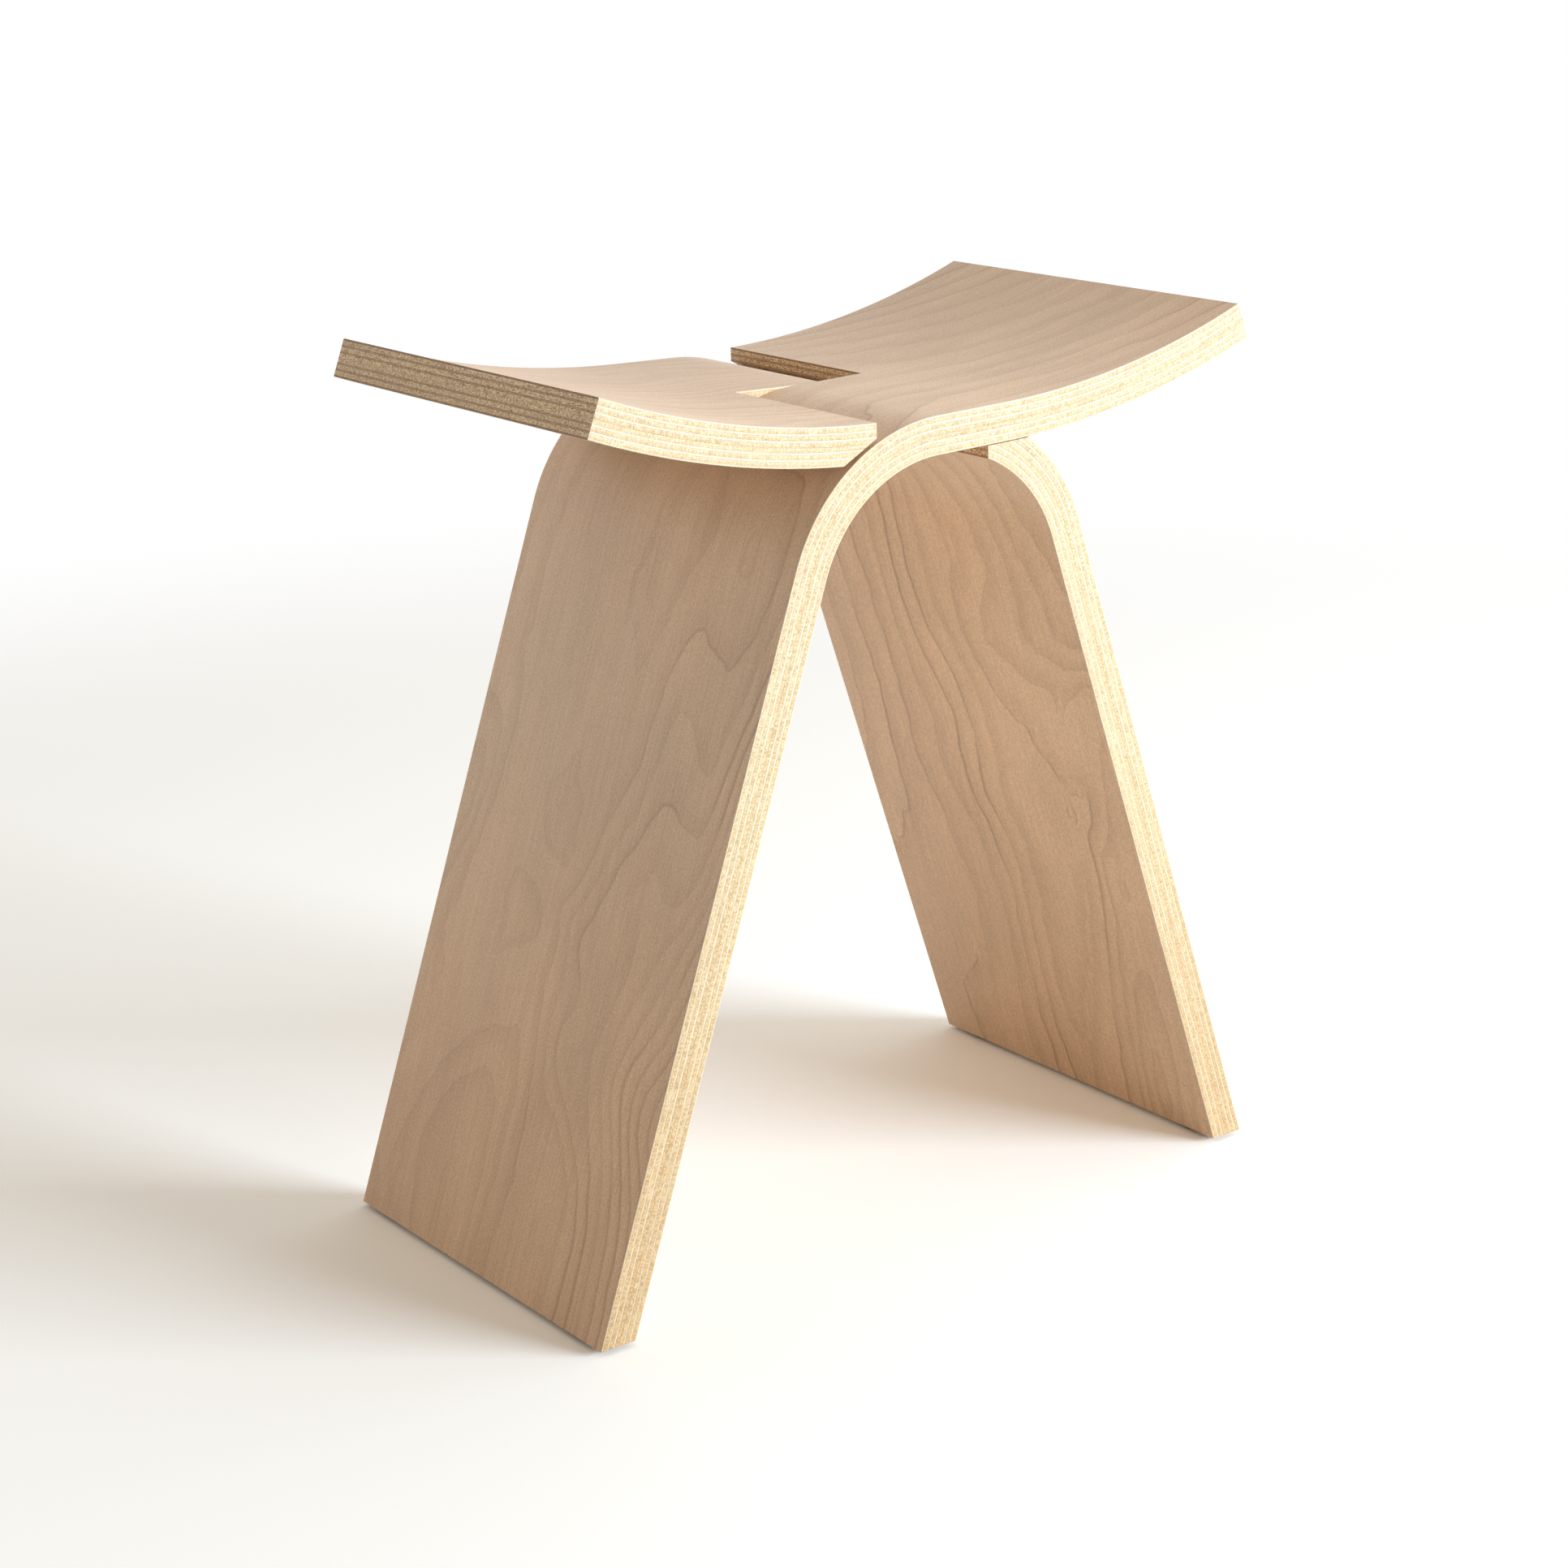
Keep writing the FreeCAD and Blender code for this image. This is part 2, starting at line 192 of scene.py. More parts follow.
@dataclass(frozen=True)
class ShellForm:
    """The line that both shells are bent along, and the cuts of their lap, for the left shell.

    Lengths are in millimetres and slopes in degrees. Depth is measured into the board from its
    outer or top face, and the way along it starts at the leg's lower end.
    """

    width: float = 217.5
    crown: float = 415.8
    bend_radius: float = 91.7
    leg_slope: float = 71.1
    run_slope: float = 1.5
    run_length: float = 38.2
    wing_radius: float = 474.6
    wing_sweep: float = 19.2
    foot: float = 2.5
    below_foot: float = 15.0
    lap_gap: float = 0.3
    wing_end: float = 39.0
    bevel_slope: float = 28.6
    bevel_gap: float = 2.0
    leg_land: float = 8.0
    slot_reach: float = 75.0
    slot_depth: float = 45.0
    slot_rise: float = 30.0
    bend_steps: int = 48
    wing_steps: int = 32
    leg_steps: int = 8
    run_steps: int = 3
    lap_steps: int = 12
    tip_step: float = 0.05

    @property
    def leg(self) -> float:
        """Slope of the leg in radians."""
        return math.radians(self.leg_slope)

    @property
    def run(self) -> float:
        """Slope of the nearly level run in radians."""
        return math.radians(self.run_slope)

    @property
    def bend_centre(self) -> np.ndarray:
        """Middle of the bend."""
        return np.array([0.0, self.crown - self.bend_radius])

    @property
    def bend_start(self) -> np.ndarray:
        """Where the leg's outer face goes over into the bend."""
        return self.bend_centre + self.bend_radius * self.up(self.leg)

    @property
    def run_start(self) -> np.ndarray:
        """Where the bend's outer face goes over into the run."""
        return self.bend_centre + self.bend_radius * self.up(self.run)

    @property
    def run_end(self) -> np.ndarray:
        """Where the run's top goes over into the wing."""
        return self.run_start + self.run_length * self.way(self.run)

    @property
    def wing_centre(self) -> np.ndarray:
        """Middle of the wing's hollow, above the seat."""
        return self.run_end + self.wing_radius * self.up(self.run)

    @property
    def leg_length(self) -> float:
        """Length of the outer line from its lower end to the bend."""
        return (self.bend_start[1] - self.foot) / math.sin(self.leg) + self.below_foot

    @property
    def foot_middle(self) -> float:
        """Distance of the foot's middle from the stool's middle."""
        outer = -self.bend_start[0] + (self.bend_start[1] - self.foot) / math.tan(self.leg)
        return float(outer - WALL / 2 / math.sin(self.leg))

    @staticmethod
    def way(slope: float) -> np.ndarray:
        """Unit vector along the board at that slope in radians."""
        return np.array([math.cos(slope), math.sin(slope)])

    @staticmethod
    def up(slope: float) -> np.ndarray:
        """Unit vector out of the board's outer face at that slope in radians."""
        return np.array([-math.sin(slope), math.cos(slope)])

    def outer_line(self) -> list[np.ndarray]:
        """Follows the outer face from below the foot to the wing's tip.

        Returns:
            Points of x and z in millimetres.
        """
        low = self.bend_start - self.leg_length * self.way(self.leg)
        points = [low + (self.bend_start - low) * step / self.leg_steps
                  for step in range(self.leg_steps)]
        for step in range(self.bend_steps):
            slope = self.leg + (self.run - self.leg) * step / self.bend_steps
            points.append(self.bend_centre + self.bend_radius * self.up(slope))
        points += [self.run_start + (self.run_end - self.run_start) * step / self.run_steps
                   for step in range(self.run_steps)]
        for step in range(self.wing_steps + 1):
            slope = self.run + math.radians(self.wing_sweep) * step / self.wing_steps
            points.append(self.wing_centre - self.wing_radius * self.up(slope))
        # A last short step along the arc's own way, so that the tip is cut square to it.
        points.insert(-1, points[-1] - self.tip_step * self.way(slope))
        return points

    def slot_outline(self) -> list[np.ndarray]:
        """Follows what the lap takes out of the back half's width, seen from the front.

        Returns:
            Corners of x and z in millimetres.
        """
        radius = self.wing_radius + WALL + self.lap_gap
        centre = np.array([-self.wing_centre[0], self.wing_centre[1]])
        reach = math.asin((self.slot_reach + centre[0]) / radius)
        arc = [centre - radius * self.up(-reach + (reach - self.run) * step / self.lap_steps)
               for step in range(self.lap_steps + 1)]
        land = arc[-1] + self.leg_land * self.way(-self.run)
        floor, top = self.crown - self.slot_depth, self.crown + self.slot_rise
        bevel = math.radians(self.bevel_slope)
        hook = (self.bend_centre[1] + (self.bend_radius + self.bevel_gap) / math.cos(bevel)
                - self.wing_end * math.tan(bevel))
        return arc + [land, np.array([land[0], floor]),
                      np.array([self.wing_end + (hook - floor) / math.tan(bevel), floor]),
                      np.array([self.wing_end, hook]), np.array([self.wing_end, top]),
                      np.array([-self.slot_reach, top])]

    def place_in_board(self, spots: np.ndarray) -> tuple[np.ndarray, np.ndarray, np.ndarray]:
        """Finds where points lie in the board before it was bent.

        Args:
            spots: Rows of x and z in millimetres.

        Returns:
            The way along the board, the depth into it, and the board's slope in radians there.
        """
        leg_way, run_way = self.way(self.leg), self.way(self.run)
        from_bend = spots - self.bend_centre
        from_wing = spots - self.wing_centre
        along_leg = (spots - self.bend_start) @ leg_way
        past_run = (spots - self.run_end) @ run_way
        in_run = (spots - self.run_start) @ run_way
        bend_angle = np.arctan2(from_bend[:, 1], from_bend[:, 0]) - math.pi / 2
        wing_angle = np.arctan2(from_wing[:, 1], from_wing[:, 0]) + math.pi / 2
        bend_arc = self.bend_radius * (self.leg - self.run)
        choices = [from_bend @ leg_way <= 0, in_run <= 0, past_run <= 0]
        way = np.select(choices, [
            self.leg_length + along_leg,
            self.leg_length + self.bend_radius * (self.leg - bend_angle),
            self.leg_length + bend_arc + in_run,
        ], self.leg_length + bend_arc + self.run_length
            + self.wing_radius * (wing_angle - self.run))
        depth = np.select(choices, [
            -(spots - self.bend_start) @ self.up(self.leg),
            self.bend_radius - np.hypot(*from_bend.T),
            -(spots - self.run_start) @ self.up(self.run),
        ], np.hypot(*from_wing.T) - self.wing_radius)
        slope = np.select(choices, [np.full(len(spots), self.leg), bend_angle,
                                    np.full(len(spots), self.run)], wing_angle)
        return way, depth, slope


@dataclass(frozen=True)
class GlideForm:
    """A glide and its nail, in millimetres."""

    radius: float = 7.5
    height: float = 2.5
    edge: float = 1.2
    inset: float = 23.0
    recess_radius: float = 3.4
    recess_depth: float = 1.5
    head_radius: float = 3.0
    head_height: float = 0.9
    shank_radius: float = 1.1
    nail_length: float = 18.0
    point_length: float = 2.5
    fit: float = 0.1
    recess_lip: float = 0.15
    top_edge: float = 0.1
    head_ease: float = 0.25
    head_corner: float = 0.07
    rim_steps: int = 6


@dataclass(frozen=True)
class CutLook:
    """Tones of one cut of a veneer, as sRGB hex, and the sizes of the marks on it.

    Sizes of streaks, flecks and rays are in millimetres along the board, across it and into it.
    The glue's tone creeps in from both glue lines, glue_reach millimetres deep and as ragged as
    glue_wobble, which is measured along the cut.
    """

    pale: str
    deep: str
    mark: str
    streak: Size
    fleck: Size
    fleck_share: float = 0.5
    fleck_strength: float = 0.6
    ray: Size = (1.0, 1.0, 1.0)
    ray_strength: float = 0.0
    glue: str = "#8A6340"
    glue_reach: float = 0.2
    glue_wobble: Size = (1.0, 1.0, 1.0)
    glue_strength: float = 0.0


class WoodPattern:
    """Builds the patterns of one veneer in a shader tree.

    Every pattern reads the attributes "board", the place in the flat board in metres, along it,
    across it and into it, and "log", the place in the log that the veneer was peeled from. So
    the grain follows the bend and runs through from face to edge, and no two veneers are alike.

    Args:
        tree: The material's node tree.
    """

    def __init__(self, tree: Tree) -> None:
        """Adds the nodes that read the attributes."""
        self.tree = tree
        self.board = self.read("board")
        self.grain = add(tree, "ShaderNodeVectorMath", {
            0: self.board, 1: self.read("log")}, operation="ADD")

    def read(self, name: str) -> Socket:
        """The vector attribute of that name."""
        return add(self.tree, "ShaderNodeAttribute", out="Vector", attribute_name=name,
                   attribute_type="GEOMETRY")

    def wander(self, size: Size, detail: float = 2.0, roughness: float = 0.5,
               shift: float = 0.0, grain: Optional[Socket] = None) -> Socket:
        """Smooth random tone whose patches have that size.

        Args:
            size: Length of a patch in millimetres along, across and into the board.
            detail: Octaves of finer wandering.
            roughness: How strong those are.
            shift: Moves the pattern, so that two of one size differ.
            grain: The place in the log, if it isn't the point's own.

        Returns:
            A socket with values round 0.5, nearly all of them from 0.25 to 0.75.
        """
        scaled = add(self.tree, "ShaderNodeVectorMath", {
            0: grain or self.grain, 1: tuple(1 / (side * MM) for side in size),
            2: (shift, shift * 1.7, shift * 0.3)}, operation="MULTIPLY_ADD")
        return add(self.tree, "ShaderNodeTexNoise", {
            "Vector": scaled, "Scale": 1.0, "Detail": detail, "Roughness": roughness})

    def spread(self, tone: Socket, low: float, high: float, to_low: float = 0.0,
               to_high: float = 1.0) -> Socket:
        """Stretches a tone from low..high to to_low..to_high, with soft ends.

        Args:
            tone: The socket to stretch.
            low: Value that gives to_low.
            high: Value that gives to_high.
            to_low: Lower result.
            to_high: Upper result.

        Returns:
            The stretched tone.
        """
        return add(self.tree, "ShaderNodeMapRange", {
            "Value": tone, "From Min": low, "From Max": high, "To Min": to_low,
            "To Max": to_high}, interpolation_type="SMOOTHSTEP")

    def blend(self, share: Any, first: Any, second: Any) -> Socket:
        """Colour that goes from first to second as share goes from 0 to 1."""
        return add(self.tree, "ShaderNodeMix", {0: share, 6: first, 7: second}, 2,
                   data_type="RGBA")

    def from_glue(self, thickness: float) -> Socket:
        """Distance to the nearer glue line of a veneer.

        Args:
            thickness: The veneer's thickness in millimetres.

        Returns:
            The distance in metres.
        """
        half = thickness / 2 * MM
        depth = add(self.tree, "ShaderNodeSeparateXYZ", {0: self.grain}, "Z")
        inside = add(self.tree, "ShaderNodeMath", {0: depth, 1: PLY_PITCH}, operation="MODULO")
        off = add(self.tree, "ShaderNodeMath", {0: inside, 1: half}, operation="SUBTRACT")
        off = add(self.tree, "ShaderNodeMath", {0: off}, operation="ABSOLUTE")
        return add(self.tree, "ShaderNodeMath", {0: half, 1: off}, operation="SUBTRACT")

    def times(self, *tones: Any) -> Socket:
        """Multiplies tones.

        Args:
            *tones: Sockets, the first of them, and sockets or numbers.

        Returns:
            Their product.
        """
        result = tones[0]
        for tone in tones[1:]:
            result = add(self.tree, "ShaderNodeMath", {0: result, 1: tone}, operation="MULTIPLY")
        return result


@dataclass(frozen=True)
class Swell:
    """A rise in the growth layers that the peeling knife cut through; the lines bend round it.

    Its place is in millimetres along and across the board, its two half sizes are in millimetres,
    its turn is in degrees and its rise in years of growth.
    """

    along: float
    across: float
    long: float
    wide: float
    turn: float
    rise: float

    def height(self, tree: Tree, place: Socket) -> Socket:
        """Rounded rise round the swell's middle.

        Args:
            tree: The material's node tree.
            place: The place in the board in metres.

        Returns:
            The rise in years of growth.
        """
        off = add(tree, "ShaderNodeMapping", {
            "Vector": place, "Location": (self.along * MM, self.across * MM, 0.0),
            "Rotation": (0.0, 0.0, math.radians(self.turn)),
            "Scale": (self.long * MM, self.wide * MM, 1.0)},
            vector_type="TEXTURE")
        square = add(tree, "ShaderNodeVectorMath", {0: off, 1: off}, "Value",
                     operation="DOT_PRODUCT")
        fall = add(tree, "ShaderNodeMath", {0: square, 1: -1.0}, operation="MULTIPLY")
        bell = add(tree, "ShaderNodeMath", {0: fall}, operation="EXPONENT")
        return add(tree, "ShaderNodeMath", {0: bell, 1: self.rise}, operation="MULTIPLY")


@dataclass(frozen=True)
class Figure:
    """Growth lines of a peeled face; lengths in millimetres, heights in years of growth.

    The lines are the contours of a height. Slow swells spread them out and crowd them, creases
    that run across the board give several lines in a row the same sharp kink, and ripples keep
    them from running smooth. Each of those sizes is a length along, across and into the board.
    start, along and across give the height at the board's end and its even rise in a metre. line
    and sharp_side are the widths of a line's two sides. Slopes are in years of growth for each
    millimetre: where the height is flatter than steep_slope, the lines fade, down to flat_share.
    """

    start: float = 40.0
    along: float = 0.0
    across: float = 80.0
    swells: tuple[Swell, ...] = ()
    swell_size: Size = (420.0, 90.0, 400.0)
    swell: float = 9.0
    crease_size: Size = (80.0, 260.0, 400.0)
    crease: float = 4.0
    ripple_size: Size = (24.0, 13.0, 400.0)
    ripple: float = 0.42
    line: float = 2.6
    sharp_side: float = 1.3
    shade: float = 0.3
    shade_start: float = 0.35
    strength: float = 0.4
    faintest: float = 0.4
    fade_size: Size = (110.0, 60.0, 400.0)
    least_slope: float = 0.004
    flat_slope: float = 0.006
    steep_slope: float = 0.03
    flat_share: float = 0.2

    def height(self, wood: "WoodPattern", step: Size = (0.0, 0.0, 0.0)) -> Socket:
        """Years of growth at the place, or a step in millimetres away from it.

        Args:
            wood: The pattern builder.
            step: The step along, across and into the board.

        Returns:
            The height, whose whole numbers are the lines.
        """
        place, grain = (add(wood.tree, "ShaderNodeVectorMath", {
            0: spot, 1: tuple(side * MM for side in step)}, operation="ADD")
            for spot in (wood.board, wood.grain))
        rises = [add(wood.tree, "ShaderNodeVectorMath", {
            0: place, 1: (self.along, self.across, 0)}, "Value", operation="DOT_PRODUCT")]
        for size, shift, rise in ((self.swell_size, 0.0, self.swell),
                                  (self.crease_size, 5.3, self.crease),
                                  (self.ripple_size, 2.9, self.ripple)):
            if rise:
                wave = wood.wander(size, detail=1.0, roughness=0.4, shift=shift, grain=grain)
                if size is self.crease_size:
                    wave = add(wood.tree, "ShaderNodeMath", {0: wave, 1: 0.5},
                               operation="SUBTRACT")
                    wave = add(wood.tree, "ShaderNodeMath", {0: wave}, operation="ABSOLUTE")
                rises.append(wood.times(wave, rise))
        rises += [swell.height(wood.tree, place) for swell in self.swells]
        height = self.start
        for rise in rises:
            height = add(wood.tree, "ShaderNodeMath", {0: rise, 1: height}, operation="ADD")
        return height

    def lines(self, wood: "WoodPattern") -> Socket:
        """Strength of the late wood's dark lines, all of one width whatever their spacing.

        A line darkens slowly on one side and ends sharply on the other, as the late wood of a year
        does, and it is bold or faint for its whole length.

        Args:
            wood: The pattern builder.

        Returns:
            A socket from 0 to 1.
        """
        tree, height = wood.tree, self.height(wood)
        rises = [add(tree, "ShaderNodeMath", {0: self.height(wood, step), 1: height},
                     operation="SUBTRACT")
                 for step in ((1.0, 0.0, 0.0), (0.0, 1.0, 0.0))]
        rises = add(tree, "ShaderNodeCombineXYZ", {0: rises[0], 1: rises[1]})
        steep = add(tree, "ShaderNodeVectorMath", {0: rises}, "Value", operation="LENGTH")
        steep = add(tree, "ShaderNodeMath", {0: steep, 1: self.least_slope}, operation="MAXIMUM")
        past = add(tree, "ShaderNodeMath", {0: height}, operation="FRACT")
        left = add(tree, "ShaderNodeMath", {0: 1.0, 1: past}, operation="SUBTRACT")
        slow, sharp = (wood.spread(add(tree, "ShaderNodeMath", {0: share, 1: steep},
                                       operation="DIVIDE"), 0.0, width, 1.0, 0.0)
                       for share, width in ((left, self.line), (past, self.sharp_side)))
        line = add(tree, "ShaderNodeMath", {0: slow, 1: sharp}, operation="MAXIMUM")
        shade = wood.spread(past, self.shade_start, 1.0, 0.0, self.shade)
        year = add(tree, "ShaderNodeMath", {0: height}, operation="ROUND")
        chance = add(tree, "ShaderNodeTexWhiteNoise", {"W": year}, noise_dimensions="1D")
        bold = wood.spread(chance, 0.1, 0.9, self.faintest, 1.0)
        fading = wood.spread(wood.wander(self.fade_size, shift=9.1), 0.35, 0.6, self.faintest, 1.0)
        flat = wood.spread(steep, self.flat_slope, self.steep_slope, self.flat_share, 1.0)
        line = add(tree, "ShaderNodeMath", {0: wood.times(line, bold, fading), 1: shade},
                   operation="MAXIMUM")
        return wood.times(line, flat, self.strength)


@dataclass(frozen=True)
class VeneerFinish:
    """Birch veneer under a satin lacquer, sanded flush with its neighbours after gluing.

    The lacquer gives a soft sheen. The face was peeled from the log, so its rings run as wandering
    contour lines; the fibres shine pale where they are cut along, and drink the lacquer and go
    dark, with pores, where they are cut across. Towards the foot every cut is painted darker and
    warmer: painted shade, in place of the warm light that the floor throws up onto the feet.
    """

    name: str
    face: CutLook
    across_board: CutLook
    along_board: CutLook
    thickness: float
    figure: Optional[Figure] = None
    roughness: float = 0.48
    mottle: float = 0.12
    clouds: float = 0.05
    bloom_size: Size = (1.1, 0.8, 0.8)
    cloud_size: Size = (90.0, 50.0, 400.0)
    fibre_size: Size = (18.0, 0.5, 0.5)
    relief: float = 0.12
    relief_depth: float = 0.2
    # Painted shade at the feet: the tone multiplied in at the foot, and how far up the board in
    # metres it reaches.
    foot_tone: str = "#F5EBE1"
    toned_to: float = 0.34

    def tones(self, wood: WoodPattern, look: CutLook, shift: float) -> Socket:
        """Colour of one cut: two tones that wander in streaks, with finer marks on them.

        Args:
            wood: The pattern builder.
            look: Tones and sizes.
            shift: Moves the patterns.

        Returns:
            The colour.
        """
        # Each pattern has a shift of its own, so that no two of them line up.
        streaks = wood.spread(wood.wander(look.streak, detail=2.5, roughness=0.6, shift=shift),
                              0.3, 0.7)
        ground = wood.blend(streaks, linear(look.pale), linear(look.deep))
        flecks = wood.spread(wood.wander(look.fleck, roughness=0.6, shift=shift + 3.7),
                             1.0 - look.fleck_share, 1.12 - look.fleck_share)
        colour = wood.blend(wood.times(flecks, look.fleck_strength), ground, linear(look.mark))
        if look.ray_strength:
            rays = wood.spread(wood.wander(look.ray, detail=1.0, shift=shift + 6.1), 0.45, 0.62)
            colour = wood.blend(wood.times(rays, look.ray_strength), colour, linear(look.mark))
        if look.glue_strength:
            # With the wander near 0.5, the stain is gone at 1.4 times its reach.
            reach = look.glue_reach * MM
            ragged = add(wood.tree, "ShaderNodeMath", {
                0: wood.wander(look.glue_wobble, roughness=0.6, shift=shift + 8.3),
                1: -2.2 * reach, 2: wood.from_glue(self.thickness)}, operation="MULTIPLY_ADD")
            stain = wood.spread(ragged, -0.9 * reach, 0.3 * reach, look.glue_strength, 0.0)
            colour = wood.blend(stain, colour, linear(look.glue))
        return colour

    def build(self) -> Material:
        """Makes the material.

        Returns:
            A material that reads the attributes "board", "log" and "cut".
        """
        material = bpy.data.materials.new(self.name)
        tree = empty_tree(material)
        wood = WoodPattern(tree)
        face = self.tones(wood, self.face, 0.0)
        if self.figure:
            face = wood.blend(self.figure.lines(wood), face, linear(self.face.mark))
        cut = add(tree, "ShaderNodeSeparateXYZ", {0: wood.read("cut")}).node.outputs
        colour = wood.blend(cut["Y"], face, self.tones(wood, self.across_board, 11.0))
        colour = wood.blend(cut["X"], colour, self.tones(wood, self.along_board, 17.0))
        # Painted shade: over the lowest third of a metre of the board, the colour is multiplied
        # down to a darker, warmer tone at the foot, in place of the warm light that the floor
        # throws onto the feet.
        way = add(tree, "ShaderNodeSeparateXYZ", {0: wood.board})
        foot_shade = wood.blend(wood.spread(way, 0.0, self.toned_to), linear(self.foot_tone),
                         (1.0, 1.0, 1.0, 1.0))
        colour = add(tree, "ShaderNodeMix", {0: 1.0, 6: colour, 7: foot_shade}, 2,
                     data_type="RGBA", blend_type="MULTIPLY")
        # Pores and sanding marks are finer than this; at 0.8 mm they still show as a satin bloom.
        bloom = wood.spread(wood.wander(self.bloom_size, detail=1.0, shift=4.4), 0.25, 0.75,
                            1 - self.mottle, 1 + self.mottle)
        clouds = wood.spread(wood.wander(self.cloud_size, shift=12.2), 0.3, 0.7,
                             1 - self.clouds, 1 + self.clouds)
        colour = add(tree, "ShaderNodeVectorMath", {0: colour, 3: wood.times(bloom, clouds)},
                     operation="SCALE")
        fibres = wood.wander(self.fibre_size, detail=3.0, roughness=0.6, shift=2.2)
        relief = add(tree, "ShaderNodeBump", {
            "Strength": self.relief, "Distance": self.relief_depth * MM, "Height": fibres})
        shader = add(tree, "ShaderNodeBsdfPrincipled", {
            "Base Color": colour, "Roughness": self.roughness, "IOR": 1.5, "Normal": relief})
        add(tree, "ShaderNodeOutputMaterial", {"Surface": shader})
        return material


@dataclass(frozen=True)
class GlidePlastic:
    """Black polyethylene, injection moulded: a dull even black, greyed and scuffed underneath."""

    name: str = "moulded_polyethylene_black"
    black: str = "#17171A"
    scuffed: str = "#3A3A3C"
    scuff_height: float = 0.4
    skin_scale: float = 3300.0
    wear_scale: float = 500.0
    smoothest: float = 0.42
    roughest: float = 0.58
    relief: float = 0.25
    relief_depth: float = 0.05

    def build(self) -> Material:
        """Makes the material, with a fine spark-eroded mould texture and scuffs.

        Returns:
            A material that reads the object's own coordinates.
        """
        material = bpy.data.materials.new(self.name)
        tree = empty_tree(material)
        place = add(tree, "ShaderNodeTexCoord", out="Object")
        # Mould texture of 0.3 mm and scuffs about 2 mm long.
        skin, wear = (add(tree, "ShaderNodeTexNoise", {
            "Vector": place, "Scale": scale, "Detail": detail})
            for scale, detail in ((self.skin_scale, 2.0), (self.wear_scale, 4.0)))
        height = add(tree, "ShaderNodeSeparateXYZ", {0: place}, "Z")
        low = add(tree, "ShaderNodeMapRange", {
            "Value": height, "From Min": self.scuff_height * MM, "From Max": 0.0})
        share = add(tree, "ShaderNodeMath", {0: low, 1: wear}, operation="MULTIPLY")
        colour = add(tree, "ShaderNodeMix", {0: share, 6: linear(self.black),
                                             7: linear(self.scuffed)}, 2, data_type="RGBA")
        rough = add(tree, "ShaderNodeMapRange", {
            "Value": wear, "From Min": 0.3, "From Max": 0.7, "To Min": self.smoothest,
            "To Max": self.roughest})
        relief = add(tree, "ShaderNodeBump", {
            "Strength": self.relief, "Distance": self.relief_depth * MM, "Height": skin})
        shader = add(tree, "ShaderNodeBsdfPrincipled", {
            "Base Color": colour, "Roughness": rough, "IOR": 1.51, "Normal": relief})
        add(tree, "ShaderNodeOutputMaterial", {"Surface": shader})
        return material


@dataclass(frozen=True)
class NailSteel:
    """Zinc-plated steel, drawn into wire and headed: bright grey, with a dull spangle."""

    name: str = "zinc_plated_steel_nail"
    bright: str = "#B9BCBF"
    dull: str = "#8C8F92"
    spangle_scale: float = 1700.0
    smoothest: float = 0.28
    roughest: float = 0.45

    def build(self) -> Material:
        """Makes the material.

        Returns:
            A material that reads the object's own coordinates.
        """
        material = bpy.data.materials.new(self.name)
        tree = empty_tree(material)
        place = add(tree, "ShaderNodeTexCoord", out="Object")
        # Crystals of the plating, about 0.6 mm across.
        spangle = add(tree, "ShaderNodeTexNoise", {
            "Vector": place, "Scale": self.spangle_scale, "Detail": 3.0})
        share = add(tree, "ShaderNodeMapRange", {
            "Value": spangle, "From Min": 0.35, "From Max": 0.65})
        colour = add(tree, "ShaderNodeMix", {0: share, 6: linear(self.dull),
                                             7: linear(self.bright)}, 2, data_type="RGBA")
        rough = add(tree, "ShaderNodeMapRange", {
            "Value": spangle, "From Min": 0.3, "From Max": 0.7, "To Min": self.smoothest,
            "To Max": self.roughest})
        shader = add(tree, "ShaderNodeBsdfPrincipled", {
            "Base Color": colour, "Metallic": 1.0, "Roughness": rough})
        add(tree, "ShaderNodeOutputMaterial", {"Surface": shader})
        return material


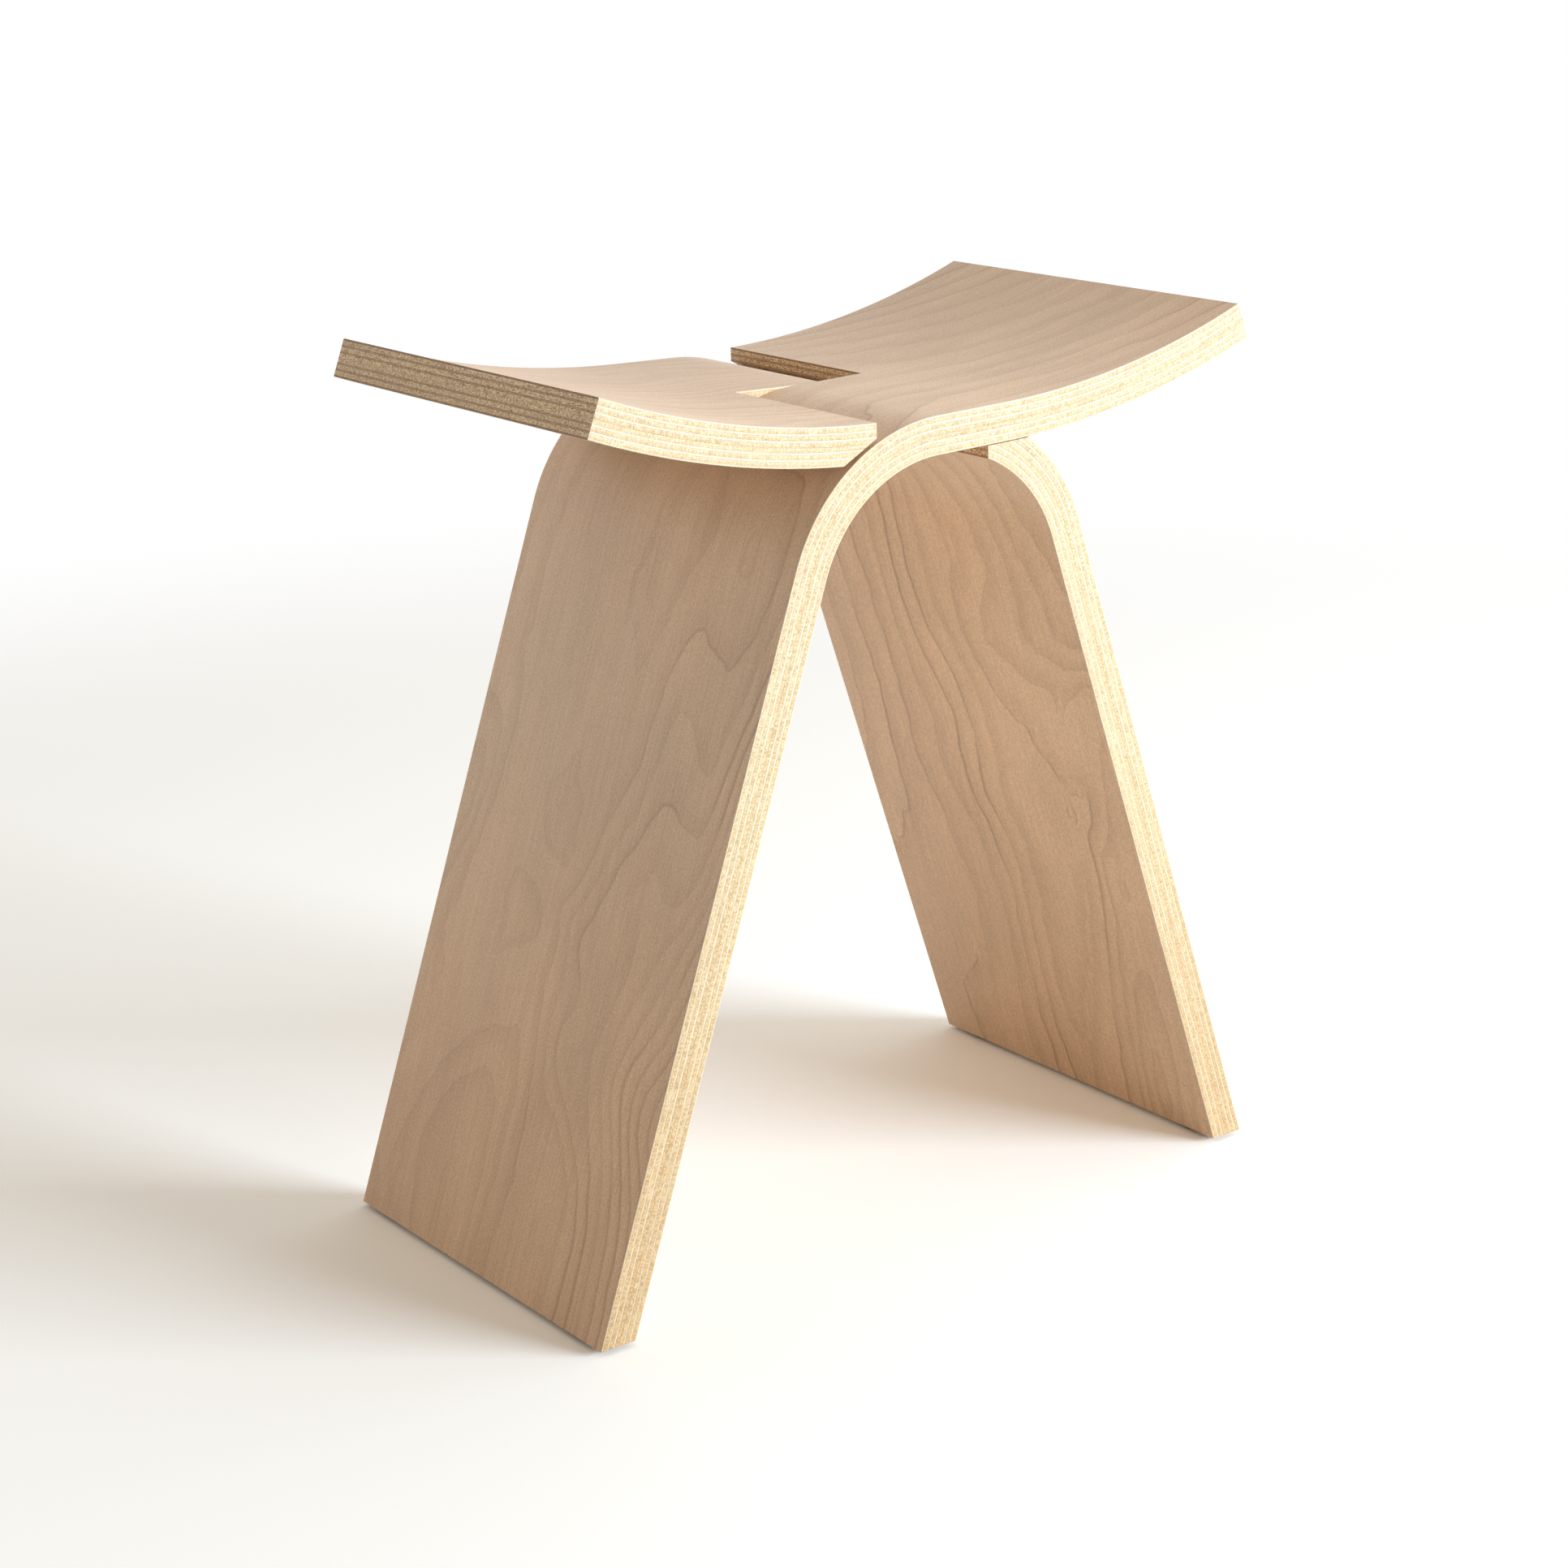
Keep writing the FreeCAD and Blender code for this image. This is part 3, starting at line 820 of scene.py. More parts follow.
class VeneerTree:
    """Geometry Nodes that sweep a veneer along the board's line and cut lap, foot and pilots."""

    INPUTS = (("Depth", "Float"), ("Thickness", "Float"), ("Width", "Float"),
              ("Outer Arris", "Float"), ("Inner Arris", "Float"), ("Foot Height", "Float"),
              ("Foot Middle", "Float"), ("Glide Side", "Float"), ("Pilot Radius", "Float"),
              ("Pilot Reach", "Float"), ("Lap Cutter", "Object"), ("Finish", "Material"))
    ARRIS_STEPS = 4
    DRILL_SIDES = 24
    FLOOR_SLAB = (1.0, 1.0, 0.2)
    WELD = 1e-6

    def __init__(self) -> None:
        """Builds the tree once; every veneer of both shells uses it."""
        self.tree = bpy.data.node_groups.new("moulded_veneer", "GeometryNodeTree")
        face = self.tree.interface
        face.new_socket("Geometry", in_out="INPUT", socket_type="NodeSocketGeometry")
        self.identifiers = {
            name: face.new_socket(name, in_out="INPUT",
                                  socket_type="NodeSocket" + kind).identifier
            for name, kind in self.INPUTS}
        face.new_socket("Geometry", in_out="OUTPUT", socket_type="NodeSocketGeometry")
        self.given = add(self.tree, "NodeGroupInput").node.outputs
        cut = add(self.tree, "GeometryNodeMeshBoolean", {
            0: self.sweep(), 1: [self.lap(), self.floor_slab(), self.pilots()]},
            operation="DIFFERENCE", solver="EXACT")
        merged = add(self.tree, "GeometryNodeMergeByDistance", {0: cut, "Distance": self.WELD})
        real = add(self.tree, "GeometryNodeRealizeInstances", {0: merged})
        dressed = add(self.tree, "GeometryNodeSetMaterial", {
            0: real, "Material": self.given["Finish"]})
        add(self.tree, "NodeGroupOutput", {0: dressed})

    def sweep(self) -> Socket:
        """Sweeps the veneer's section, with its four arrises, along the line.

        Returns:
            The whole board's length of veneer, closed at both ends.
        """
        line = add(self.tree, "GeometryNodeMeshToCurve", {0: self.given["Geometry"]})
        upright = add(self.tree, "GeometryNodeSetCurveNormal", {0: line}, mode="Z_UP")
        section = add(self.tree, "GeometryNodeCurvePrimitiveQuadrilateral", {
            "Width": self.given["Width"], "Height": self.given["Thickness"]})
        corner = add(self.tree, "ShaderNodeSeparateXYZ", {
            0: add(self.tree, "GeometryNodeInputPosition")}, "Y")
        inner = add(self.tree, "FunctionNodeCompare", {0: corner, 1: 0.0},
                    operation="GREATER_THAN")
        arris = add(self.tree, "GeometryNodeSwitch", {
            0: inner, 1: self.given["Outer Arris"], 2: self.given["Inner Arris"]},
            input_type="FLOAT")
        eased = add(self.tree, "GeometryNodeFilletCurve", {
            "Curve": section, "Count": self.ARRIS_STEPS,
            "Radius": arris, "Limit Radius": True}, mode="POLY")
        middle = add(self.tree, "ShaderNodeMath", {
            0: self.given["Thickness"], 1: 0.5, 2: self.given["Depth"]}, operation="MULTIPLY_ADD")
        offset = add(self.tree, "ShaderNodeCombineXYZ", {"Y": middle})
        placed = add(self.tree, "GeometryNodeTransform", {0: eased, "Translation": offset})
        return add(self.tree, "GeometryNodeCurveToMesh", {
            "Curve": upright, "Profile Curve": placed, "Fill Caps": True})

    def lap(self) -> Socket:
        """What the other shell takes out of this one."""
        return add(self.tree, "GeometryNodeObjectInfo", {0: self.given["Lap Cutter"]},
                   "Geometry", transform_space="ORIGINAL")

    def floor_slab(self) -> Socket:
        """Makes the block that cuts the foot level.

        Returns:
            The block, with its top at the foot.
        """
        block = add(self.tree, "GeometryNodeMeshCube", {"Size": self.FLOOR_SLAB})
        height = add(self.tree, "ShaderNodeMath", {
            0: self.given["Foot Height"], 1: self.FLOOR_SLAB[2] / 2}, operation="SUBTRACT")
        offset = add(self.tree, "ShaderNodeCombineXYZ", {"Z": height})
        return add(self.tree, "GeometryNodeTransform", {0: block, "Translation": offset})

    def pilots(self) -> Socket:
        """Makes a pilot hole for each nail of the foot.

        Returns:
            The two drills.
        """
        back, front, apart, middle = (
            add(self.tree, "ShaderNodeMath", {0: self.given[name], 1: factor},
                operation="MULTIPLY")
            for name, factor in (("Foot Middle", -1.0), ("Glide Side", -1.0),
                                 ("Glide Side", 2.0), ("Pilot Reach", 0.5)))
        start = add(self.tree, "ShaderNodeCombineXYZ", {"X": back, "Y": front, "Z": middle})
        step = add(self.tree, "ShaderNodeCombineXYZ", {"Y": apart})
        spots = add(self.tree, "GeometryNodeMeshLine", {
            "Count": 2, "Start Location": start, "Offset": step})
        drill = add(self.tree, "GeometryNodeMeshCylinder", {
            "Vertices": self.DRILL_SIDES, "Radius": self.given["Pilot Radius"],
            "Depth": self.given["Pilot Reach"]})
        holes = add(self.tree, "GeometryNodeInstanceOnPoints", {
            "Points": spots, "Instance": drill})
        return add(self.tree, "GeometryNodeRealizeInstances", {0: holes})

    def make(self, name: str, line: Mesh, values: dict[str, Any]) -> Mesh:
        """Runs the tree on the board's line.

        Args:
            name: Name of the mesh.
            line: The line as a mesh of edges.
            values: A value for each named input.

        Returns:
            The veneer as a plain mesh.
        """
        carrier = put_in_scene(name + "_line", line)
        modifier = carrier.modifiers.new("veneer", "NODES")
        modifier.node_group = self.tree
        for key, value in values.items():
            modifier[self.identifiers[key]] = value
        graph = bpy.context.evaluated_depsgraph_get()
        mesh = bpy.data.meshes.new_from_object(carrier.evaluated_get(graph))
        mesh.name = name
        # The line's own empty slot goes, so that the finish is the only one.
        mesh.materials.clear()
        mesh.materials.append(values["Finish"])
        mesh.polygons.foreach_set("material_index", [0] * len(mesh.polygons))
        carrier.modifiers.clear()
        bpy.data.objects.remove(carrier)
        return mesh


@dataclass
class BoardBlank:
    """The twelve veneers of a board, swept and cut once; both shells take copies of them.

    Args:
        form: The board's line and cuts.
        glide: The glides, for the pilot holes.
        arris: Rounding of the board's long outer corners, in millimetres.
        glue_groove: Rounding along the glue lines, which shows them as fine grooves.
        past_edge: How far the lap's cutter stands out of the board's back edge.
    """

    form: ShellForm
    glide: GlideForm
    arris: float = 0.6
    glue_groove: float = 0.06
    past_edge: float = 10.0

    def line_mesh(self) -> Mesh:
        """Makes the board's line.

        Returns:
            A mesh of edges, from below the foot to the wing's tip.
        """
        points = [(x * MM, 0.0, z * MM) for x, z in self.form.outer_line()]
        mesh = bpy.data.meshes.new("board_line")
        mesh.from_pydata(points, [(at, at + 1) for at in range(len(points) - 1)], [])
        return mesh

    def lap_cutter(self) -> bpy.types.Object:
        """Makes what the other shell takes out of this one.

        Returns:
            A closed prism of the lap's outline, behind the middle.
        """
        outline = self.form.slot_outline()
        front, back = -self.form.lap_gap / 2, self.form.width / 2 + self.past_edge
        shape = bmesh.new()
        rows = [[shape.verts.new((x * MM, y * MM, z * MM)) for x, z in outline]
                for y in (front, back)]
        shape.faces.new(rows[0])
        shape.faces.new(rows[1][::-1])
        count = len(outline)
        for at in range(count):
            shape.faces.new((rows[0][at], rows[1][at], rows[1][(at + 1) % count],
                             rows[0][(at + 1) % count]))
        bmesh.ops.recalc_face_normals(shape, faces=shape.faces)
        mesh = bpy.data.meshes.new("board_lap")
        shape.to_mesh(mesh)
        shape.free()
        return put_in_scene("board_lap", mesh)

    def cut(self, finishes: dict[str, Material]) -> list[Mesh]:
        """Sweeps and cuts the veneers, from the top or outer face inwards.

        Args:
            finishes: Material of each slot.

        Returns:
            One plain mesh for each veneer of the left shell.
        """
        tree, line, cutter = VeneerTree(), self.line_mesh(), self.lap_cutter()
        meshes, depth = [], 0.0
        for number, kind in enumerate(LAYUP, start=1):
            outer = self.arris if number == 1 else self.glue_groove
            inner = self.arris if number == len(LAYUP) else self.glue_groove
            meshes.append(tree.make(f"veneer_{number:02d}", line, {
                "Depth": depth * MM, "Thickness": kind.thickness * MM,
                "Width": self.form.width * MM, "Outer Arris": outer * MM,
                "Inner Arris": inner * MM, "Foot Height": self.form.foot * MM,
                "Foot Middle": self.form.foot_middle * MM,
                "Glide Side": (self.form.width / 2 - self.glide.inset) * MM,
                "Pilot Radius": (self.glide.shank_radius + self.glide.fit) * MM,
                "Pilot Reach": (self.glide.recess_depth + self.glide.nail_length
                                + self.glide.fit) * MM,
                "Lap Cutter": cutter, "Finish": finishes[kind.slot]}))
            depth += kind.thickness
        bpy.data.objects.remove(cutter)
        return meshes


@dataclass
class Shell:
    """One moulded board: its twelve veneers, each a piece of its own.

    Args:
        side: "left" or "right"; the right shell is the left one turned half a turn.
        form: The board's line and cuts.
        log_places: Where in the log the outer and the inner half's veneers come from, in metres
            along and across.
        own_faces: Finish of each veneer, by number, whose figure is its own.
        sharp_angle: Bend in degrees past which an edge stays sharp.
    """

    side: str
    form: ShellForm
    log_places: tuple[tuple[float, float], tuple[float, float]]
    own_faces: dict[int, VeneerFinish]
    sharp_angle: float = 25.0

    def mark_grain(self, mesh: Mesh, place: tuple[float, float, float]) -> None:
        """Writes the place in the board and in the log and the kind of cut onto a veneer.

        Args:
            mesh: The left shell's veneer, before any half turn.
            place: Place in the log in metres, along, across and into it.
        """
        count = len(mesh.vertices)
        spots = np.empty(count * 3, np.float32)
        mesh.vertices.foreach_get("co", spots)
        spots = spots.reshape(-1, 3) / MM
        way, depth, slope = self.form.place_in_board(spots[:, [0, 2]])
        board = np.stack([way, spots[:, 1], depth], 1) * MM
        sides = len(mesh.polygons)
        normals, middles = (np.empty(sides * 3, np.float32) for _ in range(2))
        mesh.polygons.foreach_get("normal", normals)
        mesh.polygons.foreach_get("center", middles)
        normals, middles = normals.reshape(-1, 3), middles.reshape(-1, 3) / MM
        slope = self.form.place_in_board(middles[:, [0, 2]])[2]
        along = normals[:, 0] * np.cos(slope) + normals[:, 2] * np.sin(slope)
        across = normals[:, 1]
        cut = np.stack([along ** 2, across ** 2, 1 - along ** 2 - across ** 2], 1)
        log = np.tile(np.array(place), (sides, 1))
        for name, domain, rows in (("board", "POINT", board), ("log", "FACE", log),
                                   ("cut", "FACE", cut)):
            held = mesh.attributes.new(name, "FLOAT_VECTOR", domain)
            held.data.foreach_set("vector", rows.astype(np.float32).ravel())

    def build(self, blank: Sequence[Mesh]) -> None:
        """Marks the grain on copies of the veneers and hangs them on the CAD body.

        Args:
            blank: The cut veneers of the left shell.
        """
        depth = 0.0
        for number, (kind, cut) in enumerate(zip(LAYUP, blank), start=1):
            name = f"{self.side}_veneer_{number:02d}_{kind.word}"
            mesh = cut.copy()
            mesh.name = name
            if number in self.own_faces:
                mesh.materials[0] = self.own_faces[number].build()
            outside = number <= len(LAYUP) // 2
            self.mark_grain(mesh, (*self.log_places[0 if outside else 1],
                                   PLY_PITCH * number - depth * MM))
            depth += kind.thickness
            if self.side == "right":
                mesh.transform(Matrix.Rotation(math.pi, 4, "Z"))
            mesh.shade_smooth()
            mesh.set_sharp_from_angle(angle=math.radians(self.sharp_angle))
            hang(name, mesh, self.side + "_shell", f"{self.side}_ply_{number:02d}_{kind.word}")


@dataclass
class FootGlide:
    """A moulded disc under a foot and the nail that holds it.

    Args:
        side: "left" or "right" shell.
        where: "front" or "back" end of its foot.
        form: The sizes.
        shell: The board that it is nailed to.
        turns: Steps of the full circle.
        sharp_angle: Bend in degrees past which an edge stays sharp.
    """

    side: str
    where: str
    form: GlideForm
    shell: ShellForm
    turns: int = 64
    sharp_angle: float = 40.0

    @property
    def place(self) -> Vector:
        """Where the glide's axis meets the floor, in metres."""
        x = self.shell.foot_middle * (-1 if self.side == "left" else 1)
        y = (self.shell.width / 2 - self.form.inset) * (-1 if self.where == "front" else 1)
        return Vector((x * MM, y * MM, 0.0))

    def disc_outline(self) -> list[Point]:
        """Half section of the disc: recess, rounded rim, top and the hole for the shank.

        Returns:
            Radius and height of each corner, in millimetres.
        """
        f = self.form
        hole = f.shank_radius + f.fit
        rim = [(f.radius - f.edge + f.edge * math.sin(a), f.edge - f.edge * math.cos(a))
               for a in (math.pi / 2 * step / f.rim_steps for step in range(f.rim_steps + 1))]
        return [(f.recess_radius, f.recess_lip), (f.recess_radius + f.recess_lip, 0.0), *rim,
                (f.radius, f.height - f.top_edge), (f.radius - f.top_edge, f.height),
                (hole, f.height), (hole, f.recess_depth), (f.recess_radius, f.recess_depth)]

    def nail_outline(self) -> list[Point]:
        """Half section of the nail: flat head with an eased rim, shank and point.

        Returns:
            Radius and height of each corner, in millimetres.
        """
        f = self.form
        seat, low = f.recess_depth, f.recess_depth - f.head_height
        tip = seat + f.nail_length
        return [(0.0, low), (f.head_radius - f.head_ease, low),
                (f.head_radius - f.head_corner, low + f.head_corner),
                (f.head_radius, low + f.head_ease), (f.head_radius, seat - f.top_edge),
                (f.head_radius - f.top_edge, seat), (f.shank_radius, seat),
                (f.shank_radius, tip - f.point_length), (0.0, tip)]

    def turned(self, name: str, outline: Iterable[Point]) -> Mesh:
        """Turns a half section about the glide's axis into a closed mesh.

        Args:
            name: Name of the mesh.
            outline: Radius and height of each corner, in millimetres.

        Returns:
            The mesh, in its place.
        """
        shape = bmesh.new()
        corners = [shape.verts.new((r * MM, 0.0, h * MM)) for r, h in outline]
        edges = [shape.edges.new(pair) for pair in zip(corners, corners[1:])]
        if corners[0].co.x > 0:
            edges.append(shape.edges.new((corners[-1], corners[0])))
        bmesh.ops.spin(shape, geom=corners + edges, cent=(0, 0, 0), axis=(0, 0, 1),
                       angle=2 * math.pi, steps=self.turns, use_duplicate=False)
        bmesh.ops.remove_doubles(shape, verts=shape.verts, dist=1e-7)
        bmesh.ops.recalc_face_normals(shape, faces=shape.faces)
        shape.transform(Matrix.Translation(self.place))
        mesh = bpy.data.meshes.new(name)
        shape.to_mesh(mesh)
        shape.free()
        mesh.shade_smooth()
        mesh.set_sharp_from_angle(angle=math.radians(self.sharp_angle))
        return mesh

    def build(self, finishes: dict[str, Material]) -> None:
        """Makes the disc and the nail and hangs them on the foot's shell.

        Args:
            finishes: Material of each slot.
        """
        node = f"{self.side}_{self.where}_glide"
        for name, outline, stands_for, slot in (
                (node + "_disc", self.disc_outline(), node, "glide_plastic"),
                (node + "_pin", self.nail_outline(), node + "_nail", "nail_steel")):
            mesh = self.turned(name, outline)
            mesh.materials.append(finishes[slot])
            hang(name, mesh, self.side + "_shell", stands_for)


@dataclass
class Studio:
    """The photograph's camera, a pale floor, a low cool window and the light of the room.

    Lengths are in metres, turns in degrees and lights in linear red, green and blue.
    """

    camera_place: tuple[float, float, float] = (-0.95312, -1.24148, 0.68990)
    right: tuple[float, float, float] = (0.80378, -0.59458, -0.02018)
    down: tuple[float, float, float] = (-0.17984, -0.21049, -0.96091)
    focal_pixels: float = 3974.0
    axis_pixel: float = 900.0
    nearest: float = 0.05
    furthest: float = 200.0
    floor_side: float = 40.0
    floor_tone: str = "#D6D7D5"
    floor_seen: Light = (1.15, 1.15, 1.10)
    fade_start: float = 0.85
    fade_end: float = 1.7
    room_left: Light = (0.47, 0.46, 0.45)
    room_right: Light = (1.53, 1.65, 1.78)
    room_front: Light = (0.18, 0.18, 0.18)
    room_back: Light = (0.92, 0.95, 0.98)
    room_top: Light = (0.42, 0.31, 0.20)
    key_turn: float = -55.0
    key_rise: float = 14.0
    key_way: float = 3.0
    key_width: float = 1.8
    key_height: float = 0.75
    key_level: float = 1.35
    key_tone: Light = (0.88, 1.0, 1.15)

    def camera(self) -> None:
        """Sets the camera where the photograph was taken from."""
        data = bpy.data.cameras.new("camera")
        data.sensor_width = SENSOR
        data.lens = self.focal_pixels / PICTURE_SIDE * SENSOR
        data.shift_x = (PICTURE_SIDE / 2 - self.axis_pixel) / PICTURE_SIDE
        data.shift_y = -data.shift_x
        data.clip_start, data.clip_end = self.nearest, self.furthest
        eye = put_in_scene("camera", data)
        right, up = Vector(self.right), -Vector(self.down)
        back = right.cross(up)
        turn = Matrix((right, up, back)).transposed()
        eye.matrix_world = Matrix.Translation(self.camera_place) @ turn.to_4x4()
        bpy.context.scene.camera = eye

    def seen(self, tree: Tree) -> Socket:
        """Tells what the camera sees from what only lights the stool.

        Args:
            tree: The node tree of the floor or the world.

        Returns:
            1 for what is seen straight on or in gloss and glass, else 0.
        """
        path = add(tree, "ShaderNodeLightPath").node.outputs
        gloss = add(tree, "ShaderNodeMath", {0: path["Is Camera Ray"],
                                             1: path["Is Glossy Ray"]}, operation="MAXIMUM")
        return add(tree, "ShaderNodeMath", {
            0: gloss, 1: path["Is Transmission Ray"]}, operation="MAXIMUM")

    def floor(self) -> None:
        """Pale seamless floor that shows white where the key light reaches it."""
        mesh = bpy.data.meshes.new("floor")
        half = self.floor_side / 2
        mesh.from_pydata([(-half, -half, 0), (half, -half, 0), (half, half, 0),
                          (-half, half, 0)], [], [(0, 1, 2, 3)])
        material = bpy.data.materials.new("paper_backdrop")
        tree = empty_tree(material)
        # The camera sees paper so pale that the key light burns it out but its shadow stays, and
        # past the shadow it goes over into plain white.
        seen = self.seen(tree)
        colour = add(tree, "ShaderNodeMix", {
            0: seen, 6: linear(self.floor_tone), 7: (*self.floor_seen, 1.0)}, 2, data_type="RGBA")
        matte = add(tree, "ShaderNodeBsdfDiffuse", {"Color": colour})
        white = add(tree, "ShaderNodeEmission", {"Color": (1.0, 1.0, 1.0, 1.0), "Strength": 1.0})
        away = add(tree, "ShaderNodeVectorMath", {
            0: add(tree, "ShaderNodeTexCoord", out="Object")}, "Value", operation="LENGTH")
        far = add(tree, "ShaderNodeMapRange", {
            "Value": away, "From Min": self.fade_start,
            "From Max": self.fade_end}, interpolation_type="SMOOTHSTEP")
        share = add(tree, "ShaderNodeMath", {0: far, 1: seen}, operation="MULTIPLY")
        paper = add(tree, "ShaderNodeMixShader", {0: share, 1: matte, 2: white})
        add(tree, "ShaderNodeOutputMaterial", {"Surface": paper})
        mesh.materials.append(material)
        floor = put_in_scene("floor", mesh)

    def room(self, tree: Tree) -> Socket:
        """Soft light from all round: most from the window's side, least from the camera's.

        Args:
            tree: The world's node tree.

        Returns:
            The light's colour and strength for each direction.
        """
        way = add(tree, "ShaderNodeTexCoord", out="Generated")
        sides = add(tree, "ShaderNodeSeparateXYZ", {0: way}).node.outputs
        shares = add(tree, "ShaderNodeVectorMath", {0: way, 1: way}, operation="MULTIPLY")
        shares = add(tree, "ShaderNodeSeparateXYZ", {0: shares}).node.outputs
        total: Any = (0.0, 0.0, 0.0)
        for axis, low, high in (("X", self.room_left, self.room_right),
                                ("Y", self.room_front, self.room_back),
                                ("Z", self.room_top, self.room_top)):
            side = add(tree, "ShaderNodeMath", {0: sides[axis], 1: 0.0}, operation="GREATER_THAN")
            light = add(tree, "ShaderNodeMix", {0: side, 4: low, 5: high}, 1, data_type="VECTOR")
            part = add(tree, "ShaderNodeVectorMath", {0: light, 3: shares[axis]},
                       operation="SCALE")
            total = add(tree, "ShaderNodeVectorMath", {0: part, 1: total}, operation="ADD")
        return total

    def world(self) -> None:
        """Light of the room, and plain white where the camera sees past the floor."""
        world = bpy.data.worlds.new("studio")
        bpy.context.scene.world = world
        tree = empty_tree(world)
        light = add(tree, "ShaderNodeBackground", {"Color": self.room(tree)})
        white = add(tree, "ShaderNodeBackground", {"Color": (1.0, 1.0, 1.0, 1.0), "Strength": 1.0})
        both = add(tree, "ShaderNodeMixShader", {0: self.seen(tree), 1: light, 2: white})
        add(tree, "ShaderNodeOutputWorld", {"Surface": both})

    def lamp(self, name: str, turn: float, rise: float, way: float, size: tuple[float, float],
             level: float, tone: Light, aim: tuple[float, float, float] = (0.0, 0.0, 0.2)) -> None:
        """Adds a rectangular soft light that faces the stool.

        Args:
            name: Name of the light.
            turn: Its direction from the stool, in degrees from +X towards +Y.
            rise: Its height above the aimed point, in degrees.
            way: Its distance from there in metres.
            size: Its width and height in metres.
            level: How bright it makes a white card at the aimed point that faces it.
            tone: Its linear colour, where green is 1.
            aim: The point that it faces, in metres.
        """
        turn, rise = math.radians(turn), math.radians(rise)
        away = way * Vector((math.cos(turn) * math.cos(rise), math.sin(turn) * math.cos(rise),
                             math.sin(rise)))
        data = bpy.data.lights.new(name, "AREA")
        data.shape = "RECTANGLE"
        data.size, data.size_y = size
        data.energy = level * math.pi ** 2 * way ** 2
        data.color = tone
        light = put_in_scene(name, data)
        light.matrix_world = (Matrix.Translation(Vector(aim) + away)
                              @ away.to_track_quat("Z", "Y").to_matrix().to_4x4())

    def build(self) -> None:
        """Makes the whole studio."""
        bpy.context.scene.view_settings.view_transform = "Standard"
        self.camera()
        self.floor()
        self.world()
        self.lamp("window", self.key_turn, self.key_rise, self.key_way,
                  (self.key_width, self.key_height), self.key_level, self.key_tone)


FACE_LOOK = CutLook(pale="#EFD1B0", deep="#E6C5A2", mark="#A67C5A",
                    streak=(60.0, 1.1, 40.0), fleck=(1.3, 0.5, 40.0), fleck_share=0.42,
                    fleck_strength=0.2)
LONG_SIDE = CutLook(pale="#E6DBC0", deep="#DFD0AC", mark="#C9B184",
                    streak=(14.0, 30.0, 0.5), fleck=(2.0, 30.0, 0.25), fleck_share=0.42,
                    fleck_strength=0.5, glue="#C79C68", glue_reach=0.14,
                    glue_wobble=(1.0, 30.0, 3.0), glue_strength=0.6)
FACE_END = CutLook(pale="#BC9468", deep="#8F6A49", mark="#573E2C",
                   streak=(30.0, 3.0, 0.5), fleck=(30.0, 0.8, 0.25), fleck_share=0.5,
                   fleck_strength=0.6)
LONG_END = CutLook(pale="#EBC294", deep="#C1986C", mark="#5A4030",
                   streak=(30.0, 2.4, 0.35), fleck=(30.0, 0.7, 0.25), fleck_share=0.5,
                   fleck_strength=0.65, glue="#5E4534", glue_reach=0.25,
                   glue_wobble=(30.0, 2.4, 3.0), glue_strength=0.7)
CROSS_END = CutLook(pale="#E0CCA4", deep="#D8BC8A", mark="#B07E46",
                    streak=(7.0, 30.0, 0.6), fleck=(0.9, 30.0, 0.32), fleck_share=0.46,
                    fleck_strength=0.85, ray=(0.8, 30.0, 3.0), ray_strength=0.36,
                    glue="#C08F55", glue_reach=0.16, glue_wobble=(1.2, 30.0, 3.0),
                    glue_strength=0.5)
CROSS_SIDE = CutLook(pale="#FFEFC8", deep="#EFC188", mark="#855C3A",
                     streak=(30.0, 2.6, 0.5), fleck=(30.0, 1.4, 0.42), fleck_share=0.5,
                     fleck_strength=0.85, ray=(30.0, 0.9, 2.0), ray_strength=0.25,
                     glue="#6A4E3A", glue_reach=0.08, glue_wobble=(30.0, 1.2, 3.0),
                     glue_strength=0.5)

FINISHES = {
    "face_veneer": VeneerFinish("lacquered_birch_face", FACE_LOOK, LONG_SIDE, FACE_END,
                                Veneer.FACE.thickness, Figure()),
    "long_grain_veneer": VeneerFinish("sanded_birch_long_grain", FACE_LOOK, LONG_SIDE, LONG_END,
                                      Veneer.LONG.thickness),
    "cross_grain_veneer": VeneerFinish("sanded_birch_cross_grain", CROSS_SIDE, CROSS_END,
                                       CROSS_SIDE, Veneer.CROSS.thickness),
    "glide_plastic": GlidePlastic(), "nail_steel": NailSteel(),
}

